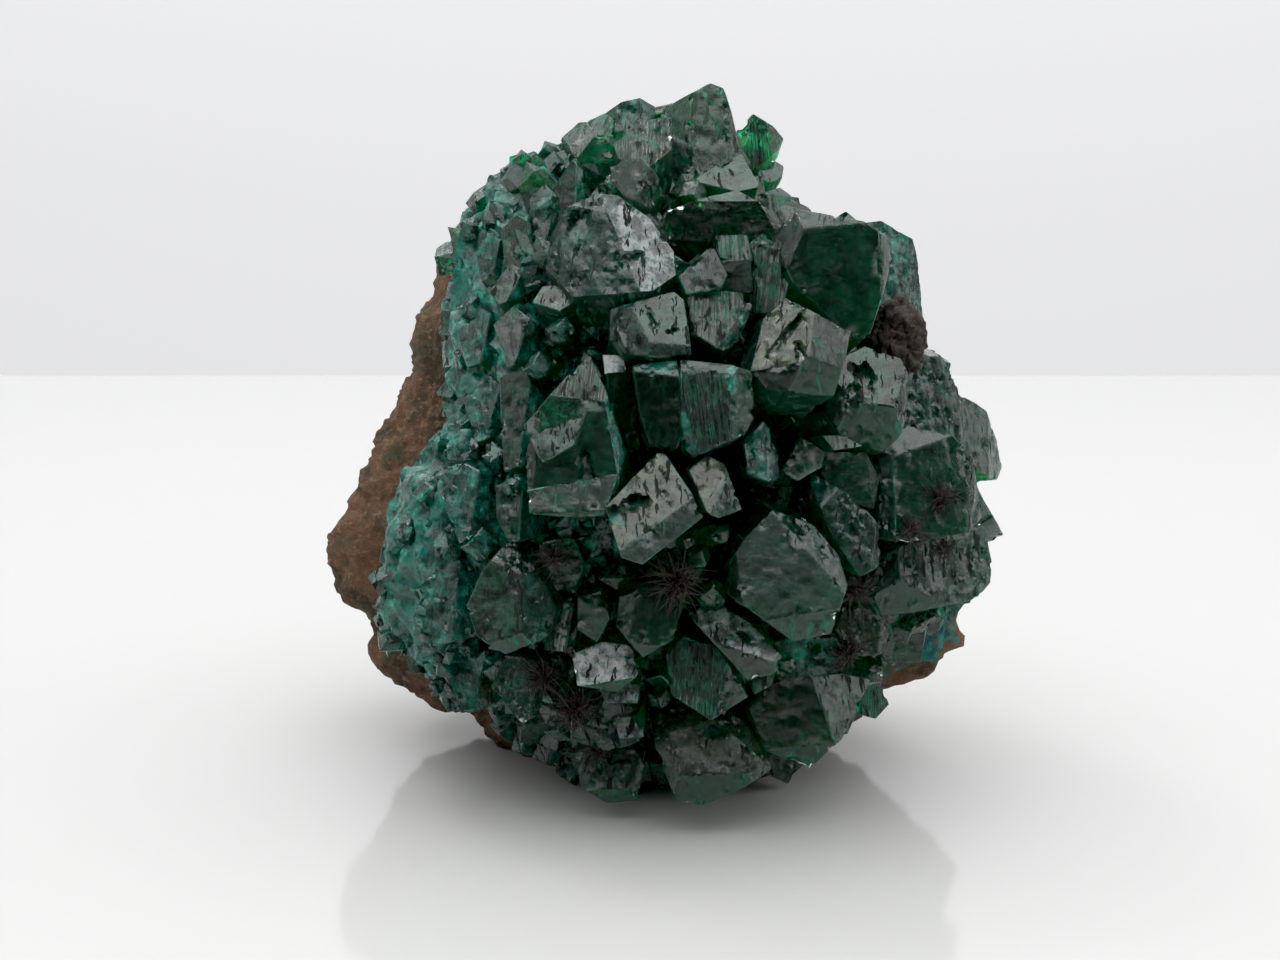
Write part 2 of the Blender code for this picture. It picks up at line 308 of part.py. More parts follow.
def corners_inside(planes):
    """Every corner of the convex solid that lies behind all the planes."""
    normals = np.array([n for _, n in planes])
    reach = np.array([p.dot(n) for p, n in planes])
    found = []
    for trio in itertools.combinations(range(len(planes)), 3):
        three = normals[list(trio)]
        if abs(np.linalg.det(three)) < 1e-4:
            continue
        point = np.linalg.solve(three, reach[list(trio)])
        if (normals @ point <= reach + 1e-5).all() and all(np.abs(point - q).max() > 1e-3 for q in found):
            found.append(point)
    return [Vector(p) for p in found]


def block_points(outline, peak, length, faces):
    """A crystal from its outline and the faces turned to the viewer, run back toward the core."""
    across, up, stand = peak
    top = seen_at(across, up, front_height(across, up) + stand)
    first = facing(*faces[0][:2])
    planes = [(top, first)]
    for turn_right, turn_up, at_across, at_up in faces[1:]:
        planes.append((where_sight_meets(at_across, at_up, top, first), facing(turn_right, turn_up)))
    planes.append((top + SIGHT * length, SIGHT))
    rim = [seen_at(a, b, 0.0) for a, b in outline]
    inside = sum(rim, Vector()) / len(rim)
    for start, end in zip(rim, rim[1:] + rim[:1]):
        side = (start - EYE).cross(end - EYE).normalized()
        if side.dot(inside - start) > 0:
            side.negate()
        planes.append((start, side))
    shown = [p for p in corners_inside(planes) if (p - top).dot(SIGHT) < length - 0.01]
    inward = (seen_at(*CORE) - top).normalized()
    return shown + [p + inward * length for p in shown]


def prism_points(tip, axis, radius, length, turn):
    """Dioptase's own form: a six-sided prism with three end faces over every other edge."""
    across = axis.orthogonal().normalized()
    frame = Matrix((across, axis.cross(across), axis)).transposed()
    points = [Vector((0, 0, 0)), Vector((0, 0, -length))]
    for corner in range(6):
        angle = math.radians(60 * corner + turn)
        drop = radius * RHOMB_SLOPE * (1.0 if corner % 2 == 0 else 0.5)
        rise = radius * RHOMB_SLOPE * (0.5 if corner % 2 == 0 else 1.0)
        edge = Vector((math.cos(angle), math.sin(angle), 0)) * radius
        points.append(edge - Vector((0, 0, drop)))
        points.append(edge - Vector((0, 0, length - rise)))
    return [tip + frame @ p for p in points]


def add_hull(bm, points):
    """Add the closed convex solid around the points, with its flat faces whole."""
    verts = [bm.verts.new(p * MM) for p in points]
    hull = bmesh.ops.convex_hull(bm, input=verts)
    inner = [v for v in verts if v.is_valid and not v.link_faces]
    bmesh.ops.delete(bm, geom=inner, context="VERTS")
    faces = [f for f in hull["geom"] if isinstance(f, bmesh.types.BMFace) and f.is_valid]
    edges = list({e for f in faces for e in f.edges})
    corners = list({v for f in faces for v in f.verts})
    bmesh.ops.dissolve_limit(bm, angle_limit=math.radians(0.8), verts=corners, edges=edges)


def make_object(name, bm, material=None):
    mesh = bpy.data.meshes.new(name)
    bm.to_mesh(mesh)
    bm.free()
    made = bpy.data.objects.new(name, mesh)
    bpy.context.scene.collection.objects.link(made)
    if material:
        mesh.materials.append(material)
    return made


def make_helper(name, bm):
    made = make_object(name, bm)
    made.hide_render = True
    made.display_type = "WIRE"
    return made


def make_material(name, colour, roughness, metallic=0.0):
    material = bpy.data.materials.new(name)
    material.use_nodes = True
    shader = material.node_tree.nodes["Principled BSDF"]
    shader.inputs["Base Color"].default_value = (*colour, 1.0)
    shader.inputs["Roughness"].default_value = roughness
    shader.inputs["Metallic"].default_value = metallic
    return material


def add_boolean(target, tool, operation, join_itself=False):
    cut = target.modifiers.new(f"{operation.lower()} {tool.name}", "BOOLEAN")
    cut.object = tool
    cut.operation = operation
    cut.solver = "EXACT"
    cut.use_self = join_itself
    return cut


def outward_from_core(point):
    return (point - seen_at(*CORE)).normalized()


def fill_crystals(rng):
    """Crystals over the gaps, rims and hidden sides, spread evenly in each band of the rounded mass."""
    for turns, angles, count, radii, stand in FILL_BANDS:
        for step in range(count):
            share = (step + 0.5) / count
            turn = math.radians(turns[0] + (turns[1] - turns[0]) * ((step * 0.618034) % 1.0))
            away = math.radians(angles[0] + (angles[1] - angles[0]) * math.sqrt(share))
            edge = along_outline(FRONT_OUTLINE, math.degrees(turn))
            reach = (edge * math.cos(turn) * math.sin(away), edge * math.sin(turn) * math.sin(away),
                     BULGE * math.cos(away))
            surface = MIDDLE + RIGHT * reach[0] + UPWARD * reach[1] - SIGHT * reach[2]
            out = outward_from_core(surface)
            lean = Vector([rng.uniform(-0.45, 0.45) for _ in range(3)])
            axis = (out + lean).normalized()
            radius = rng.uniform(*radii)
            tip = surface + out * (stand + rng.uniform(-0.8, 0.6))
            yield prism_points(tip, axis, radius, radius * rng.uniform(3.0, 3.8), rng.uniform(0, 60))


def build_growth_base():
    """The closed mass of intergrown crystals that all the others stand on."""
    bm = bmesh.new()
    bmesh.ops.create_icosphere(bm, subdivisions=BASE_DETAIL, radius=1.0)
    for v in bm.verts:
        angle = math.degrees(math.atan2(v.co.y, v.co.x))
        skin = along_outline(FRONT_OUTLINE, angle, 2)
        edge = along_outline(FRONT_OUTLINE, angle) - skin
        deep = BULGE - skin * math.hypot(v.co.x, v.co.y) - 5.0 * abs(v.co.z)
        a, b, t = v.co.x * edge, v.co.y * edge, v.co.z * deep
        v.co = (MIDDLE + RIGHT * a + UPWARD * b - SIGHT * t) * MM
    return make_helper("growth_base", bm)


def ringed_ball(rings, sides):
    """A ball of radius 1 with a point toward the viewer, one away from it, and rings of points between."""
    bm = bmesh.new()
    rows = []
    for row, away in enumerate(rings):
        flat, near = math.sin(math.radians(away)), math.cos(math.radians(away))
        turns = [2 * math.pi * (side + 0.5 * (row % 2)) / sides for side in range(sides)]
        rows.append([bm.verts.new((flat * math.cos(turn), flat * math.sin(turn), near)) for turn in turns])
    ends = bm.verts.new((0, 0, 1)), bm.verts.new((0, 0, -1))
    for row, (near, far) in enumerate(zip(rows, rows[1:])):
        for side in range(sides):
            after = (side + 1) % sides
            if row % 2 == 0:
                bm.faces.new((near[side], far[side], near[after]))
                bm.faces.new((near[after], far[side], far[after]))
            else:
                bm.faces.new((near[side], far[side], far[after]))
                bm.faces.new((near[side], far[after], near[after]))
    for side in range(sides):
        after = (side + 1) % sides
        bm.faces.new((ends[0], rows[0][side], rows[0][after]))
        bm.faces.new((ends[1], rows[-1][after], rows[-1][side]))
    bmesh.ops.recalc_face_normals(bm, faces=bm.faces)
    return bm


def build_rock(extra=0.0):
    """The matrix: a rounded block with lumps, ledges and pits, flat where it stands."""
    bm = ringed_ball(ROCK_RINGS, ROCK_SIDES)
    for v in bm.verts:
        x, y, z = v.co
        flat = math.hypot(x, y)
        outline = along_outline(ROCK_OUTLINE, math.degrees(math.atan2(y, x)))
        depth = ROCK_FRONT if z > 0 else ROCK_BACK
        power = ROCK_SQUARENESS
        radius = ((flat / outline) ** power + (abs(z) / depth) ** power) ** (-1 / power)
        spur, height, spread = ROCK_SPUR
        radius += height * math.exp(-(v.co.angle(Vector(spur)) / spread) ** 2)
        place = v.co * radius
        radius += ROCK_LUMP * noise.noise(place * 0.17) + 0.5 * ROCK_LUMP * noise.noise(place * 0.41)
        pit = noise.noise(place * 0.26 + Vector((31.0, 7.0, 3.0)))
        radius -= ROCK_PIT * max(0.0, pit - 0.22)
        place = v.co * (radius + extra)
        a, b, t = (place[i] + ROCK_MIDDLE[i] for i in range(3))
        v.co = (MIDDLE + RIGHT * a + UPWARD * b - SIGHT * t) * MM
    if extra == 0.0:
        cut = bmesh.ops.bisect_plane(bm, geom=bm.verts[:] + bm.edges[:] + bm.faces[:], dist=1e-7,
                                     plane_co=(0, 0, 0), plane_no=(0, 0, -1), clear_outer=True)
        rim = [e for e in cut["geom_cut"] if isinstance(e, bmesh.types.BMEdge)]
        bmesh.ops.contextual_create(bm, geom=rim)
        bmesh.ops.recalc_face_normals(bm, faces=bm.faces)
    return bm


def build_ball(middle, half, extra, lumps, detail):
    """A lumpy ball at a place on the front; extra makes the room that its neighbours leave for it."""
    bm = bmesh.new()
    bmesh.ops.create_icosphere(bm, subdivisions=detail, radius=1.0)
    for v in bm.verts:
        swell = 1.0 + lumps * noise.noise(v.co * 2.1 + middle * 0.3)
        a, b, t = (v.co[i] * (half[i] * swell + extra) for i in range(3))
        v.co = (middle + RIGHT * a + UPWARD * b - SIGHT * t) * MM
    return bm


def on_front(across, up, stand):
    return seen_at(across, up, front_height(across, up) + stand)


def build_cluster(material):
    bm = bmesh.new()
    for _, outline, peak, length, faces in BLOCKS:
        add_hull(bm, block_points(outline, peak, length, faces))
    for across, up, stand, radius, lean_right, lean_up, turn in PRISMS:
        tip = on_front(across, up, stand)
        add_hull(bm, prism_points(tip, facing(lean_right, lean_up), radius, stand + PRISM_ROOT, turn))
    for points in fill_crystals(random.Random(SEED)):
        add_hull(bm, points)
    bmesh.ops.recalc_face_normals(bm, faces=bm.faces)
    return make_object("dioptase_cluster", bm, material)


def keep_joined_mass(cluster):
    """Join and cut the cluster for good, and drop the chips that the cuts leave loose."""
    seen = cluster.evaluated_get(bpy.context.evaluated_depsgraph_get())
    joined = bpy.data.meshes.new_from_object(seen)
    bm = bmesh.new()
    bm.from_mesh(joined)
    left = set(bm.verts)
    masses = []
    while left:
        mass = {left.pop()}
        edge = list(mass)
        while edge:
            near = {e.other_vert(v) for v in edge for e in v.link_edges} & left
            left -= near
            mass |= near
            edge = list(near)
        masses.append(mass)
    masses.sort(key=len)
    bmesh.ops.delete(bm, geom=[v for mass in masses[:-1] for v in mass], context="VERTS")
    bm.to_mesh(joined)
    bm.free()
    cluster.modifiers.clear()
    cluster.data = joined


def below_table():
    bm = bmesh.new()
    bmesh.ops.create_cube(bm, size=0.2)
    bmesh.ops.translate(bm, verts=bm.verts, vec=(0, 0, -0.1))
    return make_helper("below_table", bm)


def main():
    for old in list(bpy.data.objects):
        bpy.data.objects.remove(old)
    emerald = make_material("dioptase", (0.01, 0.09, 0.06), 0.15)
    limonite = make_material("limonite matrix", (0.19, 0.10, 0.055), 0.9)
    gossan = make_material("iron brown lump", (0.06, 0.035, 0.025), 0.85)
    fibre = make_material("dark brown fibre", (0.05, 0.032, 0.022), 0.8)

    make_object("matrix_rock", build_rock(), limonite)
    cluster = build_cluster(emerald)
    add_boolean(cluster, build_growth_base(), "UNION", join_itself=True)
    add_boolean(cluster, make_helper("rock_room", build_rock(extra=GAP * 1.6)), "DIFFERENCE")
    add_boolean(cluster, below_table(), "DIFFERENCE")

    middle = on_front(*LUMP[:3])
    make_object("iron_lump", build_ball(middle, LUMP[3], 0.0, 0.25, 2), gossan)
    room = make_helper("lump_room", build_ball(middle, LUMP[3], GAP, 0.25, 2))
    add_boolean(cluster, room, "DIFFERENCE")
    for name, (across, up, stand, half) in TUFTS.items():
        middle = on_front(across, up, stand)
        detail = 2 if half > 2.6 else 1
        make_object(name, build_ball(middle, (half, half, half * 0.8), 0.0, 0.3, detail), fibre)
        room = make_helper(f"{name}_room", build_ball(middle, (half, half, half * 0.8), GAP, 0.3, detail))
        add_boolean(cluster, room, "DIFFERENCE")
    keep_joined_mass(cluster)


main()
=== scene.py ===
"""The looks of a dioptase specimen: emerald crystals grown together on brown limonite matrix.

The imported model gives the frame, in metres with +Z up. Lengths in the tables are millimetres as seen from the
front: across to the right, up, and toward the viewer, measured from the middle of the specimen.
"""

import itertools
import json
import math
import random

import bmesh
import bpy
import numpy as np
from bpy.props import FloatProperty, FloatVectorProperty, IntProperty, PointerProperty
from bpy.types import Operator, Panel, PropertyGroup
from mathutils import Matrix, Vector, geometry, noise

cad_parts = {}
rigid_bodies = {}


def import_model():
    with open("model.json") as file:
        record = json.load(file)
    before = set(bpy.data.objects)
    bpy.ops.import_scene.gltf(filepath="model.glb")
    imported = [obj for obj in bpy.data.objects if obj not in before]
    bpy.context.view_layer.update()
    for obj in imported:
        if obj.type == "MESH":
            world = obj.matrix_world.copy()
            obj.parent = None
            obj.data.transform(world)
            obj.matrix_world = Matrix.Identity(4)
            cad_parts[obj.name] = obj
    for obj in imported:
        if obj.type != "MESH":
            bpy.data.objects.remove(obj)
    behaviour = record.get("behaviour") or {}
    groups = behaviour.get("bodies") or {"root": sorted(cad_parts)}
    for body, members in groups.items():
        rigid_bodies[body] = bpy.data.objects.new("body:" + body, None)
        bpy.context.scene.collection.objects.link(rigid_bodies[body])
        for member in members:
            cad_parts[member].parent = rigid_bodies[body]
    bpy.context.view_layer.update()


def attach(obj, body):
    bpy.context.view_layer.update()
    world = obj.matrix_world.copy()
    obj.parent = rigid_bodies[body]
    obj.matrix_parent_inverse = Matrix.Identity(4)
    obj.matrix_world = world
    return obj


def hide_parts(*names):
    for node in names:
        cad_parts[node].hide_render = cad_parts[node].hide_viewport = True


bl_info = {
    "name": "Dioptase specimen",
    "version": (1, 0, 0),
    "blender": (4, 5, 0),
    "location": "View3D > Sidebar > Specimen",
    "description": "Builds a dioptase specimen's crystals, druse, matrix and fibres over its packed model",
    "category": "Add Mesh",
}

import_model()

MM = 0.001
SEED = 11                     # of the crystals over the gaps, the rims and the hidden sides

# How the front of the specimen is seen
TILT = math.radians(12)       # the line of sight looks down by this much
EYE_DISTANCE = 213.0
MIDDLE = Vector((0.3, 1.0, 33.1))      # middle of the specimen above the table

# The rounded front that the crystals cover: its outline's radius at each angle about the line of sight, and
# how thick the crystals stand there on the closed mass under them
FRONT_OUTLINE = [(0, 33.5, 6), (12, 31.0, 6), (25, 28.8, 6), (35, 30.5, 6), (46, 31.0, 6), (58, 28.5, 6),
                 (66, 29.5, 6), (76, 33.5, 6), (90, 35.5, 6), (105, 34.0, 5), (118, 34.2, 3), (130, 32.0, 2),
                 (146, 27.0, 1.6), (161, 23.6, 1.6), (174, 22.8, 1.6), (183, 25.0, 1.6), (190, 28.5, 1.6),
                 (200, 31.0, 1.6), (212, 34.0, 1.6), (226, 34.0, 2), (238, 33.0, 3), (250, 35.0, 5),
                 (265, 36.5, 6), (285, 36.0, 6), (300, 35.0, 6), (320, 34.5, 6), (340, 35.0, 6)]
BULGE = 24.0
CORE = (-2.0, -1.0, -9.0)     # the point that the crystals grow away from

RIGHT = Vector((1, 0, 0))
UPWARD = Vector((0, math.sin(TILT), math.cos(TILT)))
SIGHT = Vector((0, math.cos(TILT), -math.sin(TILT)))
EYE = MIDDLE - SIGHT * EYE_DISTANCE

# Faces that catch the light and the blocks behind them, one row for each crystal:
# name, corners of its outline (across, up), peak (across, up, height over the rounded front), length,
# faces (turned right, turned up, in degrees); a later face also names the point where it leaves the first one
BLOCKS = [
    ("top column", [(-1.0, 33.3), (4.5, 36.3), (5.8, 35.8), (6.8, 32.5), (7.6, 29.0), (5.5, 27.0),
                    (2.5, 26.0), (0.4, 26.4), (0.0, 30.5)],
     (3.2, 31.0, -3.0), 11, [(6, 11), (-48, 14, 2.3, 31.0), (60, 5, 6.3, 32.0)]),
    ("top lower face", [(2.3, 26.2), (4.6, 27.8), (7.5, 29.2), (9.2, 26.2), (9.0, 24.7), (7.0, 25.2),
                        (3.0, 24.4)],
     (6.0, 26.5, -1.0), 9, [(4, 42)]),
    ("top right wedge", [(7.1, 31.6), (8.7, 33.3), (11.0, 31.9), (11.9, 30.8), (11.3, 29.5), (8.6, 27.4),
                         (7.6, 28.6)],
     (9.0, 30.5, -5.0), 9, [(12, -6), (60, 12, 10.6, 30.0), (-40, 10, 8.1, 30.5)]),
    ("top right small", [(9.2, 27.3), (10.5, 28.9), (11.9, 28.1), (11.7, 26.9), (10.5, 26.3)],
     (10.7, 27.7, -4.0), 6, [(15, 32)]),
    ("right shoulder", [(9.8, 25.4), (11.4, 25.9), (13.5, 24.4), (15.0, 23.3), (13.5, 22.2), (11.8, 22.3)],
     (12.5, 24.0, -2.0), 8, [(12, 48)]),
    ("top round left", [(-6.2, 33.2), (-4.5, 34.4), (-2.5, 34.9), (-1.0, 34.0), (-0.9, 33.0), (-2.0, 31.8),
                        (-5.0, 31.3)],
     (-3.3, 33.2, -6.0), 8, [(0, 12), (-40, 25, -4.6, 33.2), (38, 25, -2.0, 33.3)]),
    ("top far left", [(-8.5, 31.8), (-7.7, 32.6), (-6.0, 33.4), (-4.8, 32.5), (-5.5, 31.0), (-7.5, 31.0)],
     (-6.6, 32.2, -5.0), 7, [(-10, 32), (35, 10, -5.8, 32.0)]),
    ("grey wing", [(-10.5, 30.7), (-8.7, 32.4), (-7.7, 32.5), (-6.7, 31.2), (-7.4, 29.4), (-9.4, 28.5)],
     (-8.5, 30.7, -4.0), 8, [(-8, 38), (-50, 5, -9.8, 30.0)]),
    ("dark diamond", [(-9.2, 28.5), (-7.3, 30.9), (-5.0, 31.0), (-4.4, 28.5), (-6.0, 25.3), (-7.8, 25.4)],
     (-6.6, 28.5, -2.0), 8, [(-6, -4), (40, 8, -5.5, 28.5)]),
    ("sparkling roof", [(-5.4, 30.0), (-2.5, 32.5), (0.7, 32.9), (0.6, 29.7), (-1.5, 27.9), (-4.8, 28.6)],
     (-2.0, 30.5, -1.5), 9, [(-4, 46)]),
    ("grey triangle", [(-6.1, 26.8), (-4.3, 28.7), (-2.5, 28.7), (-0.7, 26.5), (-1.4, 23.3), (-4.5, 24.9)],
     (-3.6, 26.8, 0.0), 8, [(-34, 26), (38, -6, -2.4, 26.5)]),
    ("left blade high", [(-11.8, 25.0), (-9.5, 28.6), (-8.3, 27.5), (-8.0, 24.3), (-9.5, 21.5),
                         (-11.9, 21.5)],
     (-9.8, 25.0, -1.0), 8, [(-24, 10), (42, 8, -9.1, 25.0)]),
    ("left blade outer", [(-16.6, 21.5), (-15.0, 23.1), (-13.6, 22.2), (-13.1, 19.0), (-14.2, 17.0),
                          (-16.2, 17.8)],
     (-15.0, 20.0, -1.0), 7, [(-28, 14), (35, 5, -14.3, 20.0)]),
    ("left blade middle", [(-13.8, 24.5), (-12.2, 26.2), (-10.8, 24.6), (-11.2, 20.0), (-13.0, 19.4)],
     (-12.4, 23.0, -1.5), 7, [(-14, 16), (45, 0, -11.6, 22.5)]),
    ("left blade low", [(-18.0, 15.5), (-15.5, 18.1), (-14.2, 17.4), (-14.6, 14.6), (-16.8, 14.0)],
     (-15.8, 16.2, -1.0), 6, [(-24, 28), (30, 0, -15.0, 16.2)]),
    ("mottled dome", [(-12.2, 17.5), (-11.8, 20.5), (-10.0, 23.6), (-7.5, 25.0), (-5.0, 24.8), (-1.8, 22.5),
                      (0.6, 19.2), (0.8, 16.8), (-1.5, 15.2), (-5.0, 14.9), (-9.5, 14.6)],
     (-6.0, 20.0, 3.0), 12, [(-18, 12), (26, 28, -4.6, 19.6), (-6, 46, -7.0, 23.2), (-46, 4, -10.4, 19.0)]),
    ("grey sill", [(-13.6, 14.1), (-12.5, 15.8), (-9.4, 15.9), (-8.6, 14.4), (-10.8, 13.2)],
     (-11.2, 14.8, 0.5), 6, [(-10, 36)]),
    ("dark wide crystal", [(0.0, 23.3), (3.5, 24.6), (7.0, 25.4), (9.0, 24.3), (11.7, 22.4), (11.0, 21.0),
                           (9.0, 20.1), (4.0, 20.3), (0.2, 20.0)],
     (5.5, 22.4, -1.5), 9, [(0, -10), (0, 46, 5.0, 24.3), (45, 20, 10.4, 22.0)]),
    ("grey pentagon", [(1.0, 16.7), (4.0, 19.5), (4.7, 19.5), (6.0, 16.9), (5.2, 15.4), (1.8, 14.9)],
     (3.4, 17.0, 1.0), 8, [(-4, 18)]),
    ("striped block", [(4.8, 20.9), (8.0, 21.0), (8.6, 18.4), (7.2, 17.9), (5.2, 18.6)],
     (6.6, 19.6, -0.5), 7, [(-6, 26)]),
    ("dark under stripes", [(5.3, 18.3), (8.4, 18.5), (8.6, 15.2), (6.4, 13.6), (5.5, 16.3)],
     (7.0, 16.5, -0.5), 7, [(8, -14)]),
    ("striped column", [(7.9, 19.8), (9.5, 21.1), (12.6, 20.1), (12.9, 18.4), (11.3, 13.0), (8.7, 13.0)],
     (10.4, 17.0, 1.0), 9, [(4, 12), (4, 54, 10.4, 19.9), (-45, 5, 8.9, 17.0)]),
    ("big dark block", [(10.4, 20.7), (13.2, 23.5), (19.5, 22.3), (22.0, 20.7), (22.5, 18.5), (21.5, 14.7),
                        (20.3, 11.0), (18.3, 10.6), (12.6, 16.0)],
     (17.0, 17.0, 3.0), 13, [(8, -2), (-46, 26, 13.2, 20.5), (62, 2, 21.3, 17.0), (2, 44, 17.0, 21.9)]),
    ("right back blade", [(19.0, 22.2), (21.5, 22.5), (24.7, 20.7), (25.3, 18.5), (25.6, 14.7), (25.9, 11.8),
                          (23.0, 11.0), (21.0, 14.0)],
     (23.0, 17.0, -3.5), 9, [(30, 6), (62, 0, 24.4, 16.5)]),
    ("mottled right", [(23.6, 6.5), (25.5, 8.8), (27.5, 9.0), (29.5, 5.2), (29.9, 0.2), (27.0, -0.5),
                       (23.8, 1.0)],
     (26.8, 4.2, -1.5), 9, [(28, 8), (60, 8, 28.6, 4.0)]),
    ("far right slab", [(29.0, 5.4), (31.0, 4.4), (32.0, 3.7), (33.5, -0.3), (33.8, -1.8), (33.2, -3.3),
                        (31.2, -2.6), (29.3, 0.3)],
     (31.3, 1.0, -5.0), 10, [(34, 14), (68, 12, 32.2, 0.5)]),
    ("lilac face", [(-5.8, 13.5), (-3.5, 14.1), (0.5, 15.3), (1.8, 14.2), (2.1, 11.0), (2.4, 8.8),
                    (-1.0, 8.5), (-4.5, 8.9), (-5.9, 10.5)],
     (-0.4, 12.2, 1.5), 10, [(8, 30), (-38, 8, -2.9, 12.0), (6, 2, -0.4, 9.9)]),
    ("sparkling crystal", [(1.8, 15.6), (7.5, 15.1), (8.5, 13.7), (7.0, 10.2), (5.5, 9.1), (2.5, 10.9)],
     (4.8, 12.8, 1.0), 8, [(4, 28), (40, 0, 7.2, 12.6)]),
    ("dark below sparkle", [(5.0, 9.6), (7.3, 11.0), (8.4, 10.0), (8.1, 7.2), (5.8, 7.4)],
     (6.8, 9.0, -1.5), 7, [(10, -12)]),
    ("yellow brick", [(9.5, 12.4), (11.8, 14.5), (15.0, 12.8), (18.4, 10.9), (17.8, 8.9), (17.0, 4.7),
                      (12.7, 5.0), (9.7, 5.5), (8.2, 7.2)],
     (12.0, 10.0, 4.0), 12, [(-22, 30), (26, 24, 14.4, 11.5), (12, -22, 13.6, 8.2), (-15, -10, 9.9, 7.4)]),
    ("right hexagon", [(16.8, 6.6), (17.7, 8.8), (19.7, 9.8), (23.3, 8.6), (24.1, 6.9), (24.1, 3.2),
                       (23.2, 0.6), (21.5, -0.9), (17.5, 0.6), (15.4, 3.6)],
     (20.4, 6.2, 3.0), 12, [(10, 30), (2, -24, 20.0, 4.0), (58, 6, 23.4, 6.0), (-34, -6, 17.4, 5.4)]),
    ("small square", [(-6.6, 8.9), (-4.3, 8.8), (-4.2, 6.9), (-6.4, 6.8)],
     (-5.4, 7.9, -0.5), 6, [(-8, 28)]),
    ("striped block left", [(-3.9, 7.8), (0.9, 8.3), (1.2, 6.0), (1.3, 0.5), (0.8, -0.7), (-2.3, -0.3),
                            (-2.9, 3.5)],
     (-0.6, 4.0, 2.0), 10, [(-14, -3), (-6, 46, -1.0, 6.9)]),
    ("striped block right", [(1.2, 8.3), (6.3, 7.8), (8.4, 7.0), (8.6, 2.5), (7.5, 0.4), (4.0, -0.9),
                             (2.5, -1.6), (1.2, -0.4)],
     (4.2, 4.0, 3.0), 11, [(-4, 2), (42, 0, 6.3, 4.0), (0, 50, 4.0, 7.0), (-34, -8, 2.3, 1.6)]),
    ("dark flank", [(-6.2, 7.0), (-3.7, 7.2), (-2.7, -0.7), (-4.4, -1.2), (-5.9, 3.0)],
     (-4.2, 3.0, -0.5), 8, [(22, 0)]),
    ("big left crystal", [(-14.1, -5.5), (-14.3, -1.5), (-13.0, 3.4), (-9.4, 7.4), (-7.8, 8.7), (-6.2, 5.0),
                          (-4.2, -1.1), (-5.3, -5.0), (-6.4, -7.2), (-10.0, -7.5), (-13.8, -7.0)],
     (-9.5, 0.0, 4.5), 14, [(-4, 2), (-36, 6, -13.0, 0.0), (50, 14, -5.9, 1.5), (2, -24, -9.5, -6.3),
                            (0, 34, -9.0, 4.4)]),
    ("left crystal step", [(-14.2, -4.8), (-5.0, -3.1), (-6.4, -7.3), (-10.0, -7.6), (-13.9, -7.2)],
     (-10.0, -5.4, 4.9), 6, [(-2, 16), (0, -30, -10.0, -7.0)]),
    ("left crystal face", [(-14.5, 1.7), (-12.2, 4.1), (-7.7, 4.4), (-9.4, -0.3), (-12.7, -2.2)],
     (-11.0, 1.4, 5.6), 5, [(-14, 22)]),
    ("rough columns", [(-17.2, -4.3), (-15.0, -3.3), (-13.6, -5.5), (-13.4, -9.6), (-16.0, -9.9),
                       (-17.2, -7.5)],
     (-15.6, -6.5, 1.0), 8, [(-30, 8), (30, 4, -14.7, -6.5)]),
    ("round mauve crystal", [(-18.6, -12.8), (-16.5, -10.2), (-14.0, -11.1), (-12.0, -14.3), (-11.0, -16.8),
                             (-12.0, -19.4), (-16.2, -21.1), (-19.1, -19.3), (-20.1, -16.3)],
     (-15.6, -15.4, 2.5), 11, [(-22, 8), (30, 4, -14.3, -15.0), (-4, 46, -16.0, -12.3),
                               (-10, -34, -15.6, -19.3)]),
    ("light brick", [(-6.4, -6.5), (-1.1, -1.0), (0.5, -1.2), (2.4, -5.3), (3.7, -7.3), (-2.7, -12.3),
                     (-4.8, -11.6)],
     (-1.5, -6.5, 5.0), 11, [(-5, 34), (13, 12, -1.4, -8.3)]),
    ("brick neighbour", [(2.0, -2.8), (3.8, -1.2), (5.6, -2.2), (7.4, -6.8), (5.0, -7.7), (3.7, -7.0)],
     (4.2, -4.2, 3.5), 9, [(-6, 30), (42, 10, 5.4, -4.5)]),
    ("teal jewel", [(7.5, -0.1), (9.5, 2.3), (10.5, 0.7), (11.4, -3.1), (10.5, -4.1), (7.9, -3.2)],
     (9.2, -1.0, 0.5), 8, [(-2, 14), (52, 14, 10.0, -1.0)]),
    ("grey nook face", [(11.3, -2.8), (13.2, 0.9), (15.8, -0.8), (15.5, -2.3), (13.0, -3.8)],
     (13.6, -1.4, -2.0), 7, [(0, 30)]),
    ("thin triangle", [(13.4, 3.2), (17.5, 0.9), (20.1, 1.0), (19.4, -0.3), (16.6, -0.7)],
     (17.2, 0.6, -0.5), 6, [(0, 27)]),
    ("nook dark block", [(15.6, -0.8), (19.8, -0.9), (21.2, -3.5), (20.6, -6.5), (17.0, -5.5), (15.4, -3.0)],
     (18.2, -3.2, -1.0), 8, [(6, -6), (40, 0, 20.2, -3.6)]),
    ("right big block", [(20.2, -1.3), (24.0, 1.9), (28.5, 0.9), (30.6, -1.3), (31.5, -7.3), (30.1, -8.9),
                         (24.0, -9.9), (21.3, -9.3)],
     (26.0, -4.0, 2.0), 13, [(22, 4), (-28, 2, 22.6, -4.0), (6, 44, 26.0, 0.0), (60, 0, 30.2, -4.0)]),
    ("right lower pair", [(19.6, -12.3), (23.0, -10.2), (29.5, -8.6), (31.9, -8.2), (32.6, -11.8),
                          (32.4, -13.8), (31.0, -15.4), (24.0, -16.9), (21.4, -17.1)],
     (26.5, -12.5, 1.0), 12, [(34, 12), (-18, 8, 23.2, -12.3), (10, -36, 27.0, -15.6)]),
    ("right foot block", [(17.7, -16.1), (21.0, -16.4), (22.4, -18.5), (21.6, -20.9), (18.5, -21.2),
